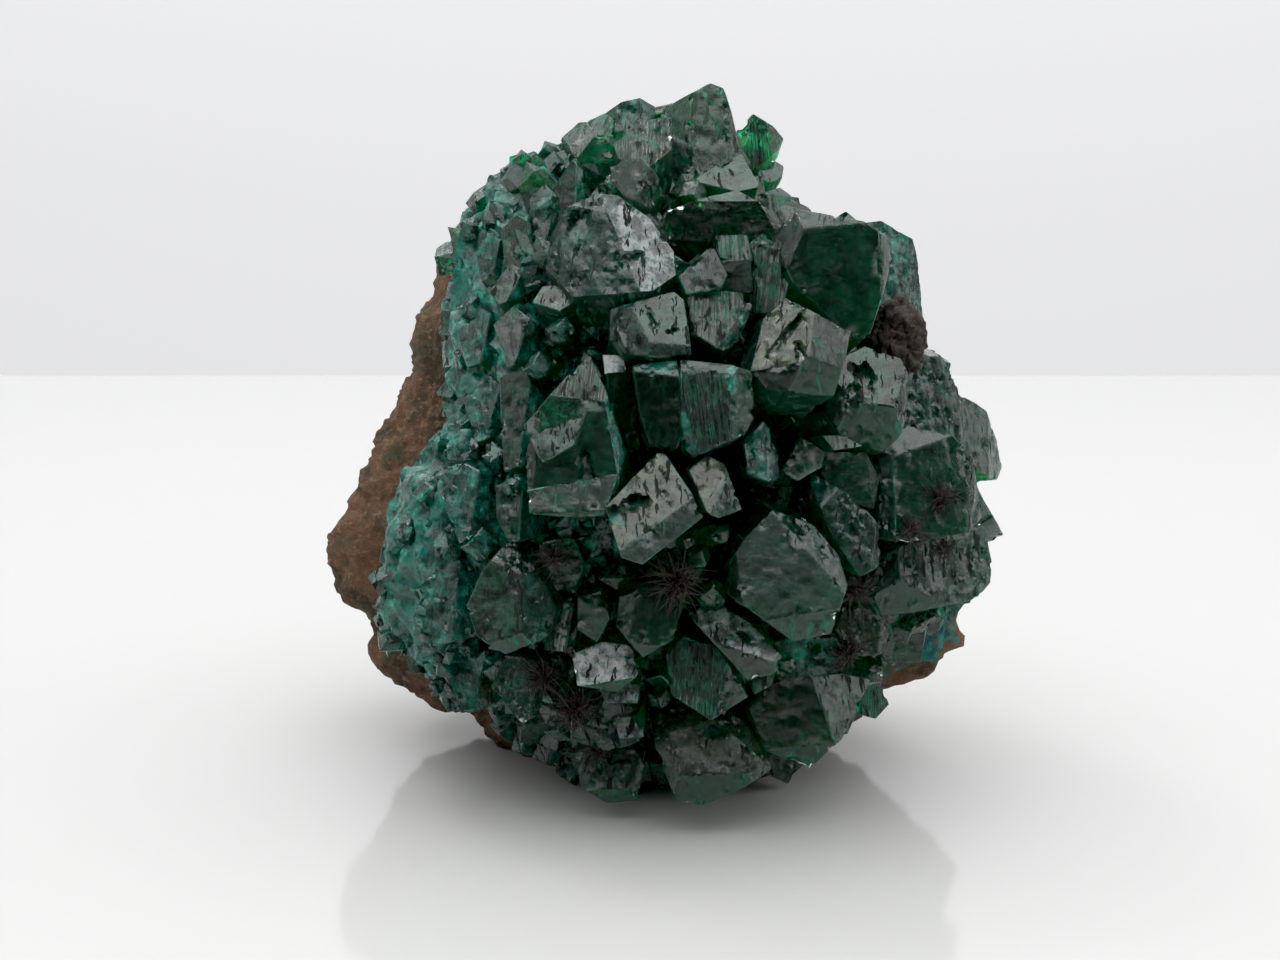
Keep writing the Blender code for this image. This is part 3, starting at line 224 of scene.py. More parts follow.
                          (16.8, -18.5)],
     (19.8, -18.4, -1.0), 8, [(12, 2), (45, -5, 21.3, -18.4)]),
    ("large right crystal", [(6.1, -12.1), (7.5, -9.7), (10.5, -6.7), (14.5, -8.2), (17.0, -11.2),
                             (17.9, -14.3), (16.2, -19.2), (12.5, -19.9), (6.1, -15.3)],
     (11.0, -13.0, 5.0), 13, [(-3, 12), (28, 36, 13.6, -10.4), (6, -36, 12.5, -17.3), (-44, 6, 7.0, -13.0)]),
    ("textured block", [(12.9, -4.0), (14.5, -2.9), (18.5, -5.3), (21.1, -8.0), (21.4, -12.1), (18.5, -13.8),
                        (16.6, -9.5)],
     (18.0, -8.0, 1.0), 10, [(14, 6), (-26, 38, 15.8, -5.8), (50, 0, 20.6, -9.5)]),
    ("fibre crystal", [(-12.9, -10.0), (-9.5, -9.3), (-8.3, -12.0), (-9.2, -15.0), (-12.4, -14.6)],
     (-10.8, -12.2, -2.0), 7, [(0, -6)]),
    ("smooth green face", [(-4.9, -15.3), (-1.0, -14.1), (1.1, -15.5), (0.8, -19.5), (-2.5, -21.5),
                           (-5.2, -18.2)],
     (-1.4, -17.4, 0.5), 8, [(4, 4), (-36, 12, -3.3, -17.0), (0, -28, -1.8, -20.2)]),
    ("small green column", [(-9.0, -15.2), (-6.5, -14.7), (-5.7, -17.5), (-7.0, -20.0), (-9.1, -18.6)],
     (-7.6, -17.0, -1.0), 7, [(0, 14)]),
    ("light strip", [(-11.1, -15.2), (-9.2, -15.5), (-10.2, -20.9), (-12.4, -20.6)],
     (-10.7, -18.0, 0.5), 6, [(-22, 26)]),
    ("long light crystal", [(2.3, -17.5), (3.3, -16.1), (5.5, -16.2), (8.3, -18.0), (11.6, -21.6),
                            (10.6, -23.1), (8.0, -23.8), (4.2, -19.6)],
     (7.0, -19.4, 4.0), 10, [(-4, 38), (48, 0, 10.6, -21.8), (-22, -14, 5.6, -20.2)]),
    ("crystal end", [(8.0, -22.4), (11.0, -22.5), (10.5, -24.1), (8.7, -25.2)],
     (9.6, -23.6, 1.5), 5, [(10, 26)]),
    ("under long crystal", [(-0.1, -21.0), (1.5, -19.3), (5.0, -20.4), (8.1, -25.3), (4.3, -27.7),
                            (0.4, -25.2)],
     (3.4, -23.2, 2.5), 9, [(-12, 10), (38, -4, 5.6, -23.2)]),
    ("bottom big crystal", [(-1.6, -26.5), (2.5, -25.6), (4.5, -27.3), (8.0, -26.0), (11.1, -32.0),
                            (7.5, -34.4), (3.5, -36.1), (1.0, -35.7), (-1.0, -31.0)],
     (4.4, -30.2, 3.0), 12, [(0, 16), (-42, 2, 0.6, -30.2), (2, -30, 4.4, -33.0), (44, -4, 9.0, -30.2)]),
    ("bottom dark block", [(8.2, -26.3), (11.0, -23.2), (17.5, -22.9), (20.4, -23.4), (17.5, -29.4),
                           (14.2, -32.4), (9.7, -30.5)],
     (13.0, -27.0, 2.5), 12, [(-12, -3), (40, 18, 15.9, -27.5), (-6, -40, 12.0, -30.4)]),
    ("dark teal nook", [(10.4, -19.8), (13.0, -19.2), (17.1, -19.4), (17.6, -22.7), (13.0, -23.5),
                        (10.9, -22.7)],
     (14.0, -21.3, -1.0), 8, [(6, 0)]),
    ("mottled lower left", [(-17.6, -24.3), (-16.2, -21.1), (-11.9, -21.7), (-12.9, -27.0), (-14.5, -28.0)],
     (-14.6, -24.2, 1.5), 9, [(-18, 6), (32, 0, -13.2, -24.0)]),
    ("light broken face", [(-9.6, -21.0), (-6.5, -19.7), (-3.4, -20.2), (-2.9, -23.1), (-5.0, -24.9),
                           (-9.1, -24.2)],
     (-6.2, -22.2, 2.0), 8, [(-5, 32), (4, -20, -6.2, -23.9)]),
    ("bright ledge", [(-6.9, -24.5), (-4.5, -23.7), (-2.7, -24.0), (-2.9, -26.0), (-6.1, -26.0)],
     (-4.7, -24.9, 2.0), 6, [(0, 35)]),
    ("light triangle", [(-5.3, -27.3), (-3.4, -27.1), (-2.2, -29.3), (-4.9, -29.5)],
     (-3.9, -28.4, 1.5), 6, [(-6, 34)]),
    ("rough bottom left", [(-9.1, -31.0), (-7.0, -29.7), (-3.5, -29.9), (-2.2, -32.0), (-2.8, -35.4),
                           (-6.0, -35.7), (-8.6, -34.1)],
     (-5.8, -32.6, 1.5), 9, [(-10, 12), (38, 0, -3.6, -32.6), (-6, -38, -5.8, -34.4)]),
    ("dark lower middle", [(-9.6, -25.7), (-6.0, -25.3), (-2.7, -26.2), (-2.4, -29.6), (-6.0, -30.7),
                           (-9.6, -29.6)],
     (-6.0, -27.8, 0.5), 8, [(-12, -6), (34, 0, -4.0, -27.8)]),
    ("bottom right small", [(19.4, -23.9), (21.6, -23.5), (22.4, -25.8), (21.0, -27.3), (19.4, -26.9)],
     (20.7, -25.4, -3.0), 7, [(36, 4)]),
    ("turquoise chip", [(27.2, -14.2), (29.0, -14.1), (29.9, -15.8), (28.5, -17.7), (26.9, -16.9)],
     (28.4, -15.8, -1.0), 6, [(24, 12)]),
    ("left ridge high", [(-19.2, 19.4), (-17.6, 21.8), (-16.2, 20.6), (-16.6, 16.8), (-18.6, 16.4)],
     (-17.8, 19.0, -1.5), 6, [(-36, 16), (26, 4, -17.0, 19.0)]),
    ("left ridge teal", [(-21.0, 11.2), (-18.8, 14.0), (-17.0, 12.8), (-17.6, 8.4), (-20.0, 7.8)],
     (-18.8, 11.0, -1.0), 7, [(-32, 16), (30, 2, -18.0, 11.0)]),
    ("left ridge grey", [(-17.4, 12.0), (-15.4, 13.8), (-13.2, 12.2), (-13.4, 8.2), (-16.0, 7.6)],
     (-15.4, 10.6, 0.5), 7, [(-22, 22), (34, 2, -14.4, 10.6)]),
    ("left ridge middle", [(-20.4, 4.6), (-18.2, 7.2), (-16.0, 5.6), (-16.2, 1.0), (-19.0, 0.2)],
     (-18.2, 3.6, 0.0), 7, [(-32, 18), (30, 0, -17.2, 3.6)]),
    ("left ridge plate", [(-16.8, 6.6), (-14.6, 7.8), (-12.8, 5.2), (-14.2, -2.2), (-16.4, -2.8)],
     (-15.2, 2.4, 1.5), 7, [(-30, 12), (32, 4, -14.3, 2.4)]),
    ("left ridge low", [(-22.8, -5.0), (-20.4, -1.8), (-17.8, -3.2), (-17.6, -8.8), (-20.8, -10.0)],
     (-20.2, -5.6, 0.0), 8, [(-32, 14), (30, 4, -19.2, -5.6)]),
    ("left ridge foot", [(-24.6, -14.0), (-21.8, -10.8), (-19.6, -12.4), (-20.0, -19.4), (-23.4, -20.2)],
     (-22.0, -15.0, 0.0), 8, [(-34, 10), (28, 4, -21.0, -15.0)]),
    ("left ridge corner", [(-22.6, -21.6), (-20.6, -19.4), (-17.4, -21.0), (-17.0, -26.2), (-20.4, -26.6)],
     (-19.8, -23.0, -1.0), 8, [(-30, 4), (30, 0, -18.6, -23.0)]),
]

# Single crystals of dioptase's own form: across, up, height over the rounded front, radius,
# lean to the right, lean upward, turn on its own axis (degrees)
PRISMS = [
    (-6.0, 26.2, 0.4, 1.2, -10, 20, 10), (-12.2, 29.9, -3.5, 1.3, -20, 30, 40),
    (-16.2, 27.8, -3.5, 1.6, -40, 20, 5), (-14.4, 29.0, -4.0, 1.5, -30, 35, 50),
    (-18.0, 25.4, -4.0, 1.5, -50, 15, 20), (2.6, 24.9, 0.0, 1.4, 0, -10, 25),
    (-11.2, 11.6, 1.0, 1.4, -15, 10, 15), (-13.6, 7.8, 1.6, 1.4, -25, 0, 35),
    (-16.0, -4.2, 2.4, 1.0, -20, 10, 0), (-19.8, -10.0, 1.0, 1.8, -30, 5, 30),
    (3.3, -10.9, 2.8, 1.2, 10, 20, 5), (4.5, -14.4, 2.4, 1.3, 0, 25, 35), (6.0, -8.9, 2.6, 1.0, 30, 10, 15),
    (21.8, -22.8, -1.5, 1.3, 40, -10, 25), (12.3, -21.6, 1.0, 0.9, 10, 20, 5),
    (15.6, -20.7, 0.8, 0.9, 20, 10, 40), (-16.6, -28.8, -1.0, 1.8, -30, -30, 10),
    (-14.4, -30.6, -1.5, 1.6, -20, -30, 40), (-12.0, -31.8, -1.5, 1.7, -15, -35, 25),
    (-9.6, -33.6, -1.5, 1.6, -10, -40, 0), (-11.0, -28.6, 0.5, 1.7, -15, -10, 35),
    (-12.2, -24.6, -0.5, 1.5, -15, 0, 15), (-0.6, -23.2, -0.5, 1.5, 0, 0, 30),
    (-0.8, -25.4, 0.5, 1.2, 0, 0, 0), (24.8, 12.6, -3.0, 1.5, 40, 10, 20),
    (24.6, -18.6, -2.5, 1.5, 40, -10, 0), (11.8, 3.6, -2.5, 1.6, 0, 10, 20),
    (14.2, 17.0, -1.5, 1.6, 0, 10, 30),
]
PRISM_ROOT = 8.5              # how deep such a crystal reaches under the rounded front

# Where crystals of the same form fill the gaps, the rims and the sides that the front hides:
# first and last turn about the line of sight, first and last angle from it, how many, radius, height
FILL_BANDS = [
    ((0, 360), (4, 62), 10, (2.2, 3.2), -3.6),
    ((-75, 118), (66, 84), 16, (3.0, 4.4), -1.2),
    ((-70, 112), (84, 104), 16, (3.0, 4.6), -0.6),
    ((-62, 106), (104, 122), 10, (2.8, 4.2), -0.4),
    ((114, 242), (48, 88), 34, (1.3, 2.3), -0.8),
    ((-120, -75), (62, 84), 8, (2.4, 3.6), -1.6),
]

# Limonite matrix: its outline seen from the front, as radius at each angle, and its reach to front and back
ROCK_MIDDLE = (-5.0, -3.0, -12.0)
ROCK_OUTLINE = [(0, 28.0), (30, 27.0), (60, 28.0), (90, 31.0), (108, 31.5), (123, 30.4), (137, 26.6),
                (148, 24.6), (160, 24.0), (176, 26.2), (186, 27.6), (193, 31.4), (202, 31.4), (210, 29.8),
                (218, 31.4), (228, 31.0), (240, 29.4), (255, 31.0), (270, 32.0), (290, 33.0), (312, 33.5),
                (333, 34.2), (348, 30.5)]
ROCK_SPUR = ((31.0, -15.5, 12.5), 12.5, 0.27)     # a spur shows at the lower right: direction, height, spread
ROCK_FRONT = 9.0
ROCK_BACK = 17.5
ROCK_SQUARENESS = 2.7
ROCK_LUMP = 1.1               # height of the lumps and ledges
ROCK_PIT = 1.5                # depth of the pits

# Iron-brown lump at the upper right and the tufts of dark fibres: across, up, height, half sizes
LUMP = (22.9, 10.6, -0.6, (2.5, 3.5, 2.6))
TUFTS = {
    "fibre_tuft_centre": (0.8, -14.0, 4.2, 2.7), "fibre_tuft_right": (27.0, -5.4, 3.2, 2.3),
    "fibre_tuft_right_low": (24.2, -8.6, 3.0, 1.9), "fibre_tuft_ledge": (27.6, -10.4, 3.2, 1.9),
    "fibre_tuft_nook": (18.8, -14.6, 2.0, 2.2), "fibre_tuft_foot": (18.0, -20.6, 1.8, 2.3),
    "fibre_tuft_left": (-12.4, -23.2, 2.8, 2.4), "fibre_tuft_mass": (-9.2, -26.4, 2.8, 2.5),
    "fibre_tuft_bottom": (-7.0, -30.4, 2.2, 2.0), "fibre_tuft_small": (-11.4, -11.4, 1.4, 1.8),
}

RHOMB_SLOPE = math.tan(math.radians(50.9))    # dioptase's end faces against its prism

# How each crystal's faces look, in the order of its row, the last letter for its remaining sides:
# d dark and clear, e smooth green, g grey satin, l light grey, s sparkling, m mottled, c cream, k striped,
# r rough, t turquoise crust, b brownish, p pale (a painted sheen), w bright turquoise (teal crust on the
# base, and painted glint patches), u all faces turned down
LOOKS = {
    "top column": "gld", "top lower face": "ld", "top right wedge": "kld", "top right small": "gd",
    "right shoulder": "gd", "top round left": "tet", "top far left": "ted", "grey wing": "gld",
    "dark diamond": "de", "sparkling roof": "sd", "grey triangle": "ggd", "left blade high": "gtd",
    "left blade outer": "gtt", "left blade middle": "lgt", "left blade low": "ltt", "mottled dome": "mpmmt",
    "grey sill": "lr", "dark wide crystal": "dld", "grey pentagon": "ge", "striped block": "kk",
    "dark under stripes": "dd", "striped column": "kkk", "big dark block": "egegd", "right back blade": "ttt",
    "mottled right": "mmr", "far right slab": "glg", "lilac face": "lrg", "sparkling crystal": "sts",
    "dark below sparkle": "dd", "yellow brick": "cgddr", "right hexagon": "lddgd", "small square": "pl",
    "striped block left": "dtr", "striped block right": "keetk", "dark flank": "dd",
    "big left crystal": "edtdsd", "left crystal step": "gd", "left crystal face": "rt",
    "rough columns": "rrt", "round mauve crystal": "lmrrr", "light brick": "cgd", "brick neighbour": "crt",
    "teal jewel": "ttt", "grey nook face": "gd", "thin triangle": "ld", "nook dark block": "ed",
    "right big block": "ererr", "right lower pair": "rrrr", "right foot block": "bbd",
    "large right crystal": "ergdd", "textured block": "rtr", "fibre crystal": "dd",
    "smooth green face": "eedd", "small green column": "ee", "light strip": "ld", "long light crystal": "pgd",
    "crystal end": "ld", "under long crystal": "kre", "bottom big crystal": "bgdbb",
    "bottom dark block": "dldd", "dark teal nook": "td", "mottled lower left": "mmb",
    "light broken face": "pdd", "bright ledge": "pd", "light triangle": "pd", "rough bottom left": "rrr",
    "dark lower middle": "rdd", "bottom right small": "kd", "turquoise chip": "tt", "left ridge high": "ttt",
    "left ridge teal": "ttt", "left ridge grey": "gtt", "left ridge middle": "ttt", "left ridge plate": "gtt",
    "left ridge low": "ttt", "left ridge foot": "ttt", "left ridge corner": "tbt",
}
# Each finish: how much film covers the green, its tone (-1 turquoise, 0 grey, 1 cream, 2 pale painted sheen),
# roughness, lines, and the relief in millimetres: steps, stripes, pits, mosaic
FINISHES = {
    "d": (0.0, 0.0, 0.08, 0.2, 0.03, 0.0, 0.04, 0.02),
    "e": (0.02, -0.6, 0.12, 0.2, 0.02, 0.0, 0.02, 0.02),
    "g": (0.09, -0.3, 0.16, 0.6, 0.05, 0.0, 0.05, 0.03),
    "l": (0.38, 0.0, 0.2, 1.0, 0.06, 0.0, 0.06, 0.03),
    "s": (0.14, 0.4, 0.12, 1.4, 0.2, 0.06, 0.2, 0.16),
    "m": (0.22, -0.5, 0.2, 0.7, 0.14, 0.0, 0.24, 0.18),
    "c": (0.26, 1.0, 0.2, 0.8, 0.1, 0.02, 0.16, 0.05),
    "k": (0.07, -0.4, 0.14, 1.6, 0.02, 0.12, 0.04, 0.02),
    "r": (0.13, -0.5, 0.18, 0.9, 0.16, 0.05, 0.18, 0.15),
    "t": (0.34, -1.0, 0.22, 0.6, 0.14, 0.06, 0.12, 0.15),
    "b": (0.18, 0.5, 0.2, 0.9, 0.12, 0.03, 0.18, 0.12),
    "u": (0.03, -0.7, 0.42, 0.5, 0.14, 0.0, 0.18, 0.14),
    # w is teal crust on the base, and painted turquoise glints in patches on faces
    "w": (0.8, -1.0, 0.26, 0.2, 0.08, 0.03, 0.12, 0.1),
    # p is a painted sheen: a pale grey film for the bright reflection of the overhead light on faces turned up
    "p": (0.8, 2.0, 0.2, 1.0, 0.05, 0.0, 0.08, 0.03),
}
# Painted glints and highlights on the crystals' narrow edge faces: a teal painted glint, a pale painted
# highlight
TEAL_GLINT_EDGE = (0.50, -1.0, 0.16, 0.0)     # film, tone, roughness, lines: painted teal glint on edges
PALE_HIGHLIGHT_EDGE = (0.28, 0.0, 0.14, 0.0)
TEAL_GLINT_SHARE, PALE_HIGHLIGHT_SHARE = 0.38, 0.66     # lots from 0 to 1 under which an edge gets the teal painted glint, and the pale painted highlight
# Broken hollows on faces, and bright turquoise patches of painted glint (finish w): block, place across
# and up, half width and half height, turn in degrees, depth, finish
HOLLOWS_AND_GLINTS = [
    ("right hexagon", 19.6, 6.3, 1.1, 2.0, 20, 0.8, "r"),
    ("right hexagon", 18.2, 4.6, 0.9, 1.6, -15, 0.6, "r"),
    ("light brick", -3.2, -6.2, 1.5, 0.9, 20, 0.7, "r"), ("light brick", -5.2, -7.6, 0.7, 1.4, 30, 0.5, "t"),
    ("yellow brick", 11.4, 10.4, 0.35, 3.6, -38, 0.5, "r"),
    ("yellow brick", 13.2, 8.6, 0.5, 1.3, 10, 0.4, "d"), ("lilac face", -1.6, 12.0, 0.25, 1.8, 12, 0.4, "d"),
    ("lilac face", 0.6, 11.2, 0.8, 0.25, 20, 0.35, "d"), ("mottled dome", -3.6, 18.4, 1.4, 0.8, 30, 0.5, "r"),
    ("mottled dome", -8.6, 21.5, 1.2, 1.8, 10, 0.4, "t"),
    ("big left crystal", -8.0, -3.4, 0.7, 2.2, 10, 0.4, "r"),
    ("long light crystal", 7.4, -19.4, 1.2, 0.4, -35, 0.4, "r"),
    ("large right crystal", 12.6, -9.2, 0.9, 1.8, 25, 0.4, "r"),
    ("bottom big crystal", 4.8, -28.6, 1.6, 0.7, 15, 0.5, "t"),
    # rows of finish w: painted glints, turquoise patches where light shines through thin crystal edges
    ("right back blade", 23.5, 19.7, 1.0, 2.4, 0, 0.1, "w"),
    ("striped block right", 6.2, 6.2, 0.9, 1.6, 0, 0.1, "w"),
    ("dark wide crystal", 10.2, 20.2, 1.3, 0.35, -32, 0.0, "w"),
    ("big left crystal", -5.6, 3.4, 0.3, 3.4, -16, 0.1, "w"),
    ("left crystal face", -11.5, 3.2, 1.7, 0.5, -30, 0.1, "w"),
    ("rough columns", -16.0, -4.0, 0.8, 1.3, 0, -0.3, "w"),
    ("right shoulder", 11.0, 22.5, 1.6, 0.3, -35, 0.0, "w"),
    ("teal jewel", 10.2, -0.8, 0.25, 2.0, -15, 0.0, "w"),
    ("bottom dark block", 12.5, -21.8, 1.0, 0.3, 0, 0.0, "w"),
    ("dark teal nook", 15.5, -20.8, 0.4, 0.9, 0, 0.0, "w"),
    ("left ridge grey", -20.0, -9.0, 0.6, 3.0, 12, 0.0, "w"),
    ("left ridge middle", -21.0, 2.0, 0.5, 3.4, 20, 0.0, "w"),
]
# Left edge of the teal crust, seen from the front: places up and across
CRUST_UP = (-19.0, -15.8, -12.8, -7.5, -3.3, 2.7, 14.7, 23.2)
CRUST_ACROSS = (-29.7, -30.0, -28.0, -30.0, -26.5, -22.5, -21.5, -19.2)
CRUST_WIDTH = 9.0             # how far it reaches onto the crystal mass
CRUST_FADE = 3.0              # over what width it ends there
CRUST_DEPTH = 8.0             # how far behind the middle the matrix still has crust, over what depth it ends
MATRIX_FADE = 9.0
LEFT_ANGLE, LEFT_SPREAD = 178, 71.25    # the side with the teal film, as angles about the line of sight
HIGH_FROM = 12.5              # height on that side from which its small crystals are larger

BEVEL = 0.10                  # width of the crystals' worn edges
NARROW = 0.08                 # faces with less area than this share of their perimeter are such edges
FINE = 0.30                   # spacing of the points on the crystals that the front shows
COARSE = 0.46                 # spacing on the crystals of the hidden sides
SHOWN_DEPTH = 5.0             # depth of a block to which its points stand close together
WIDER_EVERY, WIDEST = 1.6, 7  # deeper, their spacing grows once with each such step, to so many times
RIM_FADE = 0.7                # width over which a face's relief fades to its edge
SWELL = 0.035                 # height of the slight swell of every face
LEAST_RELIEF = 0.015          # mosaic and pits under this height are left out
TURNED_DOWN = -0.08           # faces that look down more than this have the finish u
SAME_WAY = 0.995              # cosine between two normals that count as one face's
CREASE = 26                   # angle in degrees over which a crystal's edge stays sharp
SOFT_CREASE = 60              # the same for the matrix and the lump

# How each band of FILL_BANDS looks, end faces and sides, and the group that it joins
BAND_LOOKS = ("ed", "em", "rd", "er", "tt", "er")
BAND_GROUPS = ("middle", "right_side", "right_side", "back", "left", "lower")
SHOWN_BANDS = (0, 4)
PRISM_SEED, FILL_SEED = 200, 300        # first seeds of the single crystals' and the bands' surfaces
UPPER_FROM, MIDDLE_FROM = 14.5, -4.5    # heights that part the groups of crystals in front
LEFT_TO, TEAL_TO = -11, -9              # single crystals left of here join the left group, and are teal

# Small crystals of the druse: radius, length and flatness of each form
DRUSE_FORMS = {"druse_a": (0.95, 0.42, 1.0), "druse_b": (1.0, 0.30, 0.8), "druse_c": (1.3, 0.45, 0.5),
               "druse_d": (0.8, 0.60, 0.9)}
# Each field of them: how many to a square metre, smallest and largest size, film, tone, seed
DRUSES = {"dioptase_druse_left": (8.0e5, 0.3, 1.15, 0.40, -1.1, 3),
          "dioptase_druse_high": (6.0e5, 0.6, 1.7, 0.08, -0.9, 6),
          "dioptase_druse_front": (5.5e5, 0.5, 2.4, 0.08, -0.7, 4)}
FIBRE_FORMS = 9
FIBRE_THICK = 0.042           # radius of a fibre's foot, for a fibre 1 mm long
FIBRE_RINGS, FIBRE_SIDES = 6, 3
TUFT_ROOT = 0.22              # radius of the ball that a tuft's fibres grow from, as a share of its half size
TUFT_DEPTH = 0.35             # how far that ball stands under the tuft's middle, as the same share
CLEAR = "clear dioptase"
# film carries real films and crust, and also the painted sheen of finish p and the painted glints of w and of
# edges
KINDS = ("film", "tone", "gloss", "lines")      # what a face's finish gives its material

# Corners of the table and the wall, in metres
TABLE = [(-1.2, -0.5, 0), (1.2, -0.5, 0), (1.2, 0.25, 0), (-1.2, 0.25, 0)]
WALL = [(-1.2, 0.7, -0.3), (1.2, 0.7, -0.3), (1.2, 0.7, 0.4), (-1.2, 0.7, 0.4)]
# Soft lights: place, size across and along, brightness of the surface; all are aimed at the specimen's middle
SOFT_LIGHTS = [("overhead", (0.0, -0.1, 0.75), (1.2, 1.0), 1.7),
               ("window", (-0.30, 0.25, 0.60), (0.16, 0.16), 6.0),
               ("right", (0.75, -0.05, 0.32), (0.5, 0.5), 1.9), ("left", (-0.75, 0.0, 0.30), (0.5, 0.5), 0.9)]
LIGHTS_AIM = (0, 0, 0.03)
ROOM_SEEN = 0.72              # brightness of the room where the camera looks at it
CAMERA_SHIFT = (2.5, 3.3)     # how far the camera stands left of the line of sight and under it
LENS, SENSOR = 60.0, 36.0


def seen_at(across, up, toward):
    """The point that the front view shows at (across, up), this far toward the viewer."""
    near = 1.0 - toward / EYE_DISTANCE
    return MIDDLE + (RIGHT * across + UPWARD * up) * near - SIGHT * toward


def along_outline(table, angle, column=1):
    """A value of an outline table at an angle about the line of sight, in degrees, eased between its rows."""
    angle %= 360
    rows = table + [(table[0][0] + 360, *table[0][1:])]
    for low, high in zip(rows, rows[1:]):
        if low[0] <= angle <= high[0]:
            share = (angle - low[0]) / (high[0] - low[0])
            ease = share * share * (3 - 2 * share)
            return low[column] + (high[column] - low[column]) * ease
    return rows[0][column]


def front_height(across, up):
    """How far the rounded front stands toward the viewer."""
    edge = along_outline(FRONT_OUTLINE, math.degrees(math.atan2(up, across)))
    rest = 1.0 - (math.hypot(across, up) / edge) ** 2
    return BULGE * math.sqrt(max(0.0, rest))


def on_front(across, up, stand):
    """The point that the front view shows at (across, up), this far over the rounded front."""
    return seen_at(across, up, front_height(across, up) + stand)


def facing(turn_right, turn_up):
    """The direction of a face that is turned from the viewer by these angles."""
    slope = RIGHT * math.tan(math.radians(turn_right)) + UPWARD * math.tan(math.radians(turn_up)) - SIGHT
    return slope.normalized()


def where_sight_meets(across, up, plane_point, plane_normal):
    """The point of a plane that the front view shows at (across, up)."""
    ray = seen_at(across, up, 0.0) - EYE
    return EYE + ray * ((plane_point - EYE).dot(plane_normal) / ray.dot(plane_normal))


def corners_inside(planes):
    """Every corner of the convex solid that lies behind all the planes."""
    normals = np.array([n for _, n in planes])
    reach = np.array([p.dot(n) for p, n in planes])
    found = []
    for trio in itertools.combinations(range(len(planes)), 3):
        three = normals[list(trio)]
        if abs(np.linalg.det(three)) < 1e-4:
            continue
        point = np.linalg.solve(three, reach[list(trio)])
        if (normals @ point <= reach + 1e-5).all() and all(np.abs(point - q).max() > 1e-3 for q in found):
            found.append(point)
    return [Vector(p) for p in found]


def block_points(outline, peak, length, faces):
    """A crystal from its outline and the faces turned to the viewer, run back toward the core."""
    top = on_front(*peak)
    first = facing(*faces[0][:2])
    planes = [(top, first)]
    for turn_right, turn_up, at_across, at_up in faces[1:]:
        planes.append((where_sight_meets(at_across, at_up, top, first), facing(turn_right, turn_up)))
    planes.append((top + SIGHT * length, SIGHT))
    rim = [seen_at(a, b, 0.0) for a, b in outline]
    inside = sum(rim, Vector()) / len(rim)
    for start, end in zip(rim, rim[1:] + rim[:1]):
        side = (start - EYE).cross(end - EYE).normalized()
        if side.dot(inside - start) > 0:
            side.negate()
        planes.append((start, side))
    shown = [p for p in corners_inside(planes) if (p - top).dot(SIGHT) < length - 0.01]
    inward = (seen_at(*CORE) - top).normalized()
    return shown + [p + inward * length for p in shown]


def prism_points(tip, axis, radius, length, turn):
    """Dioptase's own form: a six-sided prism with three end faces over every other edge."""
    across = axis.orthogonal().normalized()
    turned = Matrix((across, axis.cross(across), axis)).transposed()
    points = [Vector((0, 0, 0)), Vector((0, 0, -length))]
    for corner in range(6):
        angle = math.radians(60 * corner + turn)
        drop = radius * RHOMB_SLOPE * (1.0 if corner % 2 == 0 else 0.5)
        rise = radius * RHOMB_SLOPE * (0.5 if corner % 2 == 0 else 1.0)
        edge = Vector((math.cos(angle), math.sin(angle), 0)) * radius
        points.append(edge - Vector((0, 0, drop)))
        points.append(edge - Vector((0, 0, length - rise)))
    return [tip + turned @ p for p in points]


def fill_crystals(rng):
    """Crystals over the gaps, rims and hidden sides, spread evenly in each band of the rounded mass."""
    golden = 0.618034
    for band, (turns, angles, count, radii, stand) in enumerate(FILL_BANDS):
        for step in range(count):
            share = (step + 0.5) / count
            turn = math.radians(turns[0] + (turns[1] - turns[0]) * ((step * golden) % 1.0))
            away = math.radians(angles[0] + (angles[1] - angles[0]) * math.sqrt(share))
            edge = along_outline(FRONT_OUTLINE, math.degrees(turn))
            reach = (edge * math.cos(turn) * math.sin(away), edge * math.sin(turn) * math.sin(away),
                     BULGE * math.cos(away))
            surface = MIDDLE + RIGHT * reach[0] + UPWARD * reach[1] - SIGHT * reach[2]
            out = (surface - seen_at(*CORE)).normalized()
            lean = Vector([rng.uniform(-0.45, 0.45) for _ in range(3)])
            axis = (out + lean).normalized()
            radius = rng.uniform(*radii)
            tip = surface + out * (stand + rng.uniform(-0.8, 0.6))
            length = radius * rng.uniform(3.0, 3.8)
            yield band, tip, axis, prism_points(tip, axis, radius, length, rng.uniform(0, 60))


def scrambled(*whole, seed=0):
    """A number from 0 to 1 for each whole-number place, always the same there."""
    mix = np.full(np.shape(whole[0]), (seed * 40503 + 977) % 4294967291, np.uint32)
    for places, prime in zip(whole, (73856093, 19349663, 83492791)):
        mix = mix ^ (np.asarray(places).astype(np.int64).astype(np.uint32) * np.uint32(prime))
        mix = mix * np.uint32(2654435761)
        mix = mix ^ (mix >> np.uint32(15))
    return mix / 4294967295.0


def soft_noise(places, seed):
    """Smooth noise from -1 to 1 at places of shape (n, 2 or 3), one unit to a bump."""
    base = np.floor(places)
    share = places - base
    share = share * share * (3 - 2 * share)
    total = 0
    for corner in itertools.product((0, 1), repeat=places.shape[1]):
        weight = np.prod([share[:, i] if c else 1 - share[:, i] for i, c in enumerate(corner)], axis=0)
        total = total + weight * scrambled(*(base[:, i] + c for i, c in enumerate(corner)), seed=seed)
    return total * 2 - 1


def layered_noise(places, seed, layers=3):
    """Layers of smooth noise, each half as high and about twice as fine as the one before."""
    total, size = 0, 1.0
    for layer in range(layers):
        total = total + soft_noise(places * 2.03 ** layer + layer * 7.31, seed + layer) * size
        size *= 0.5
    return total


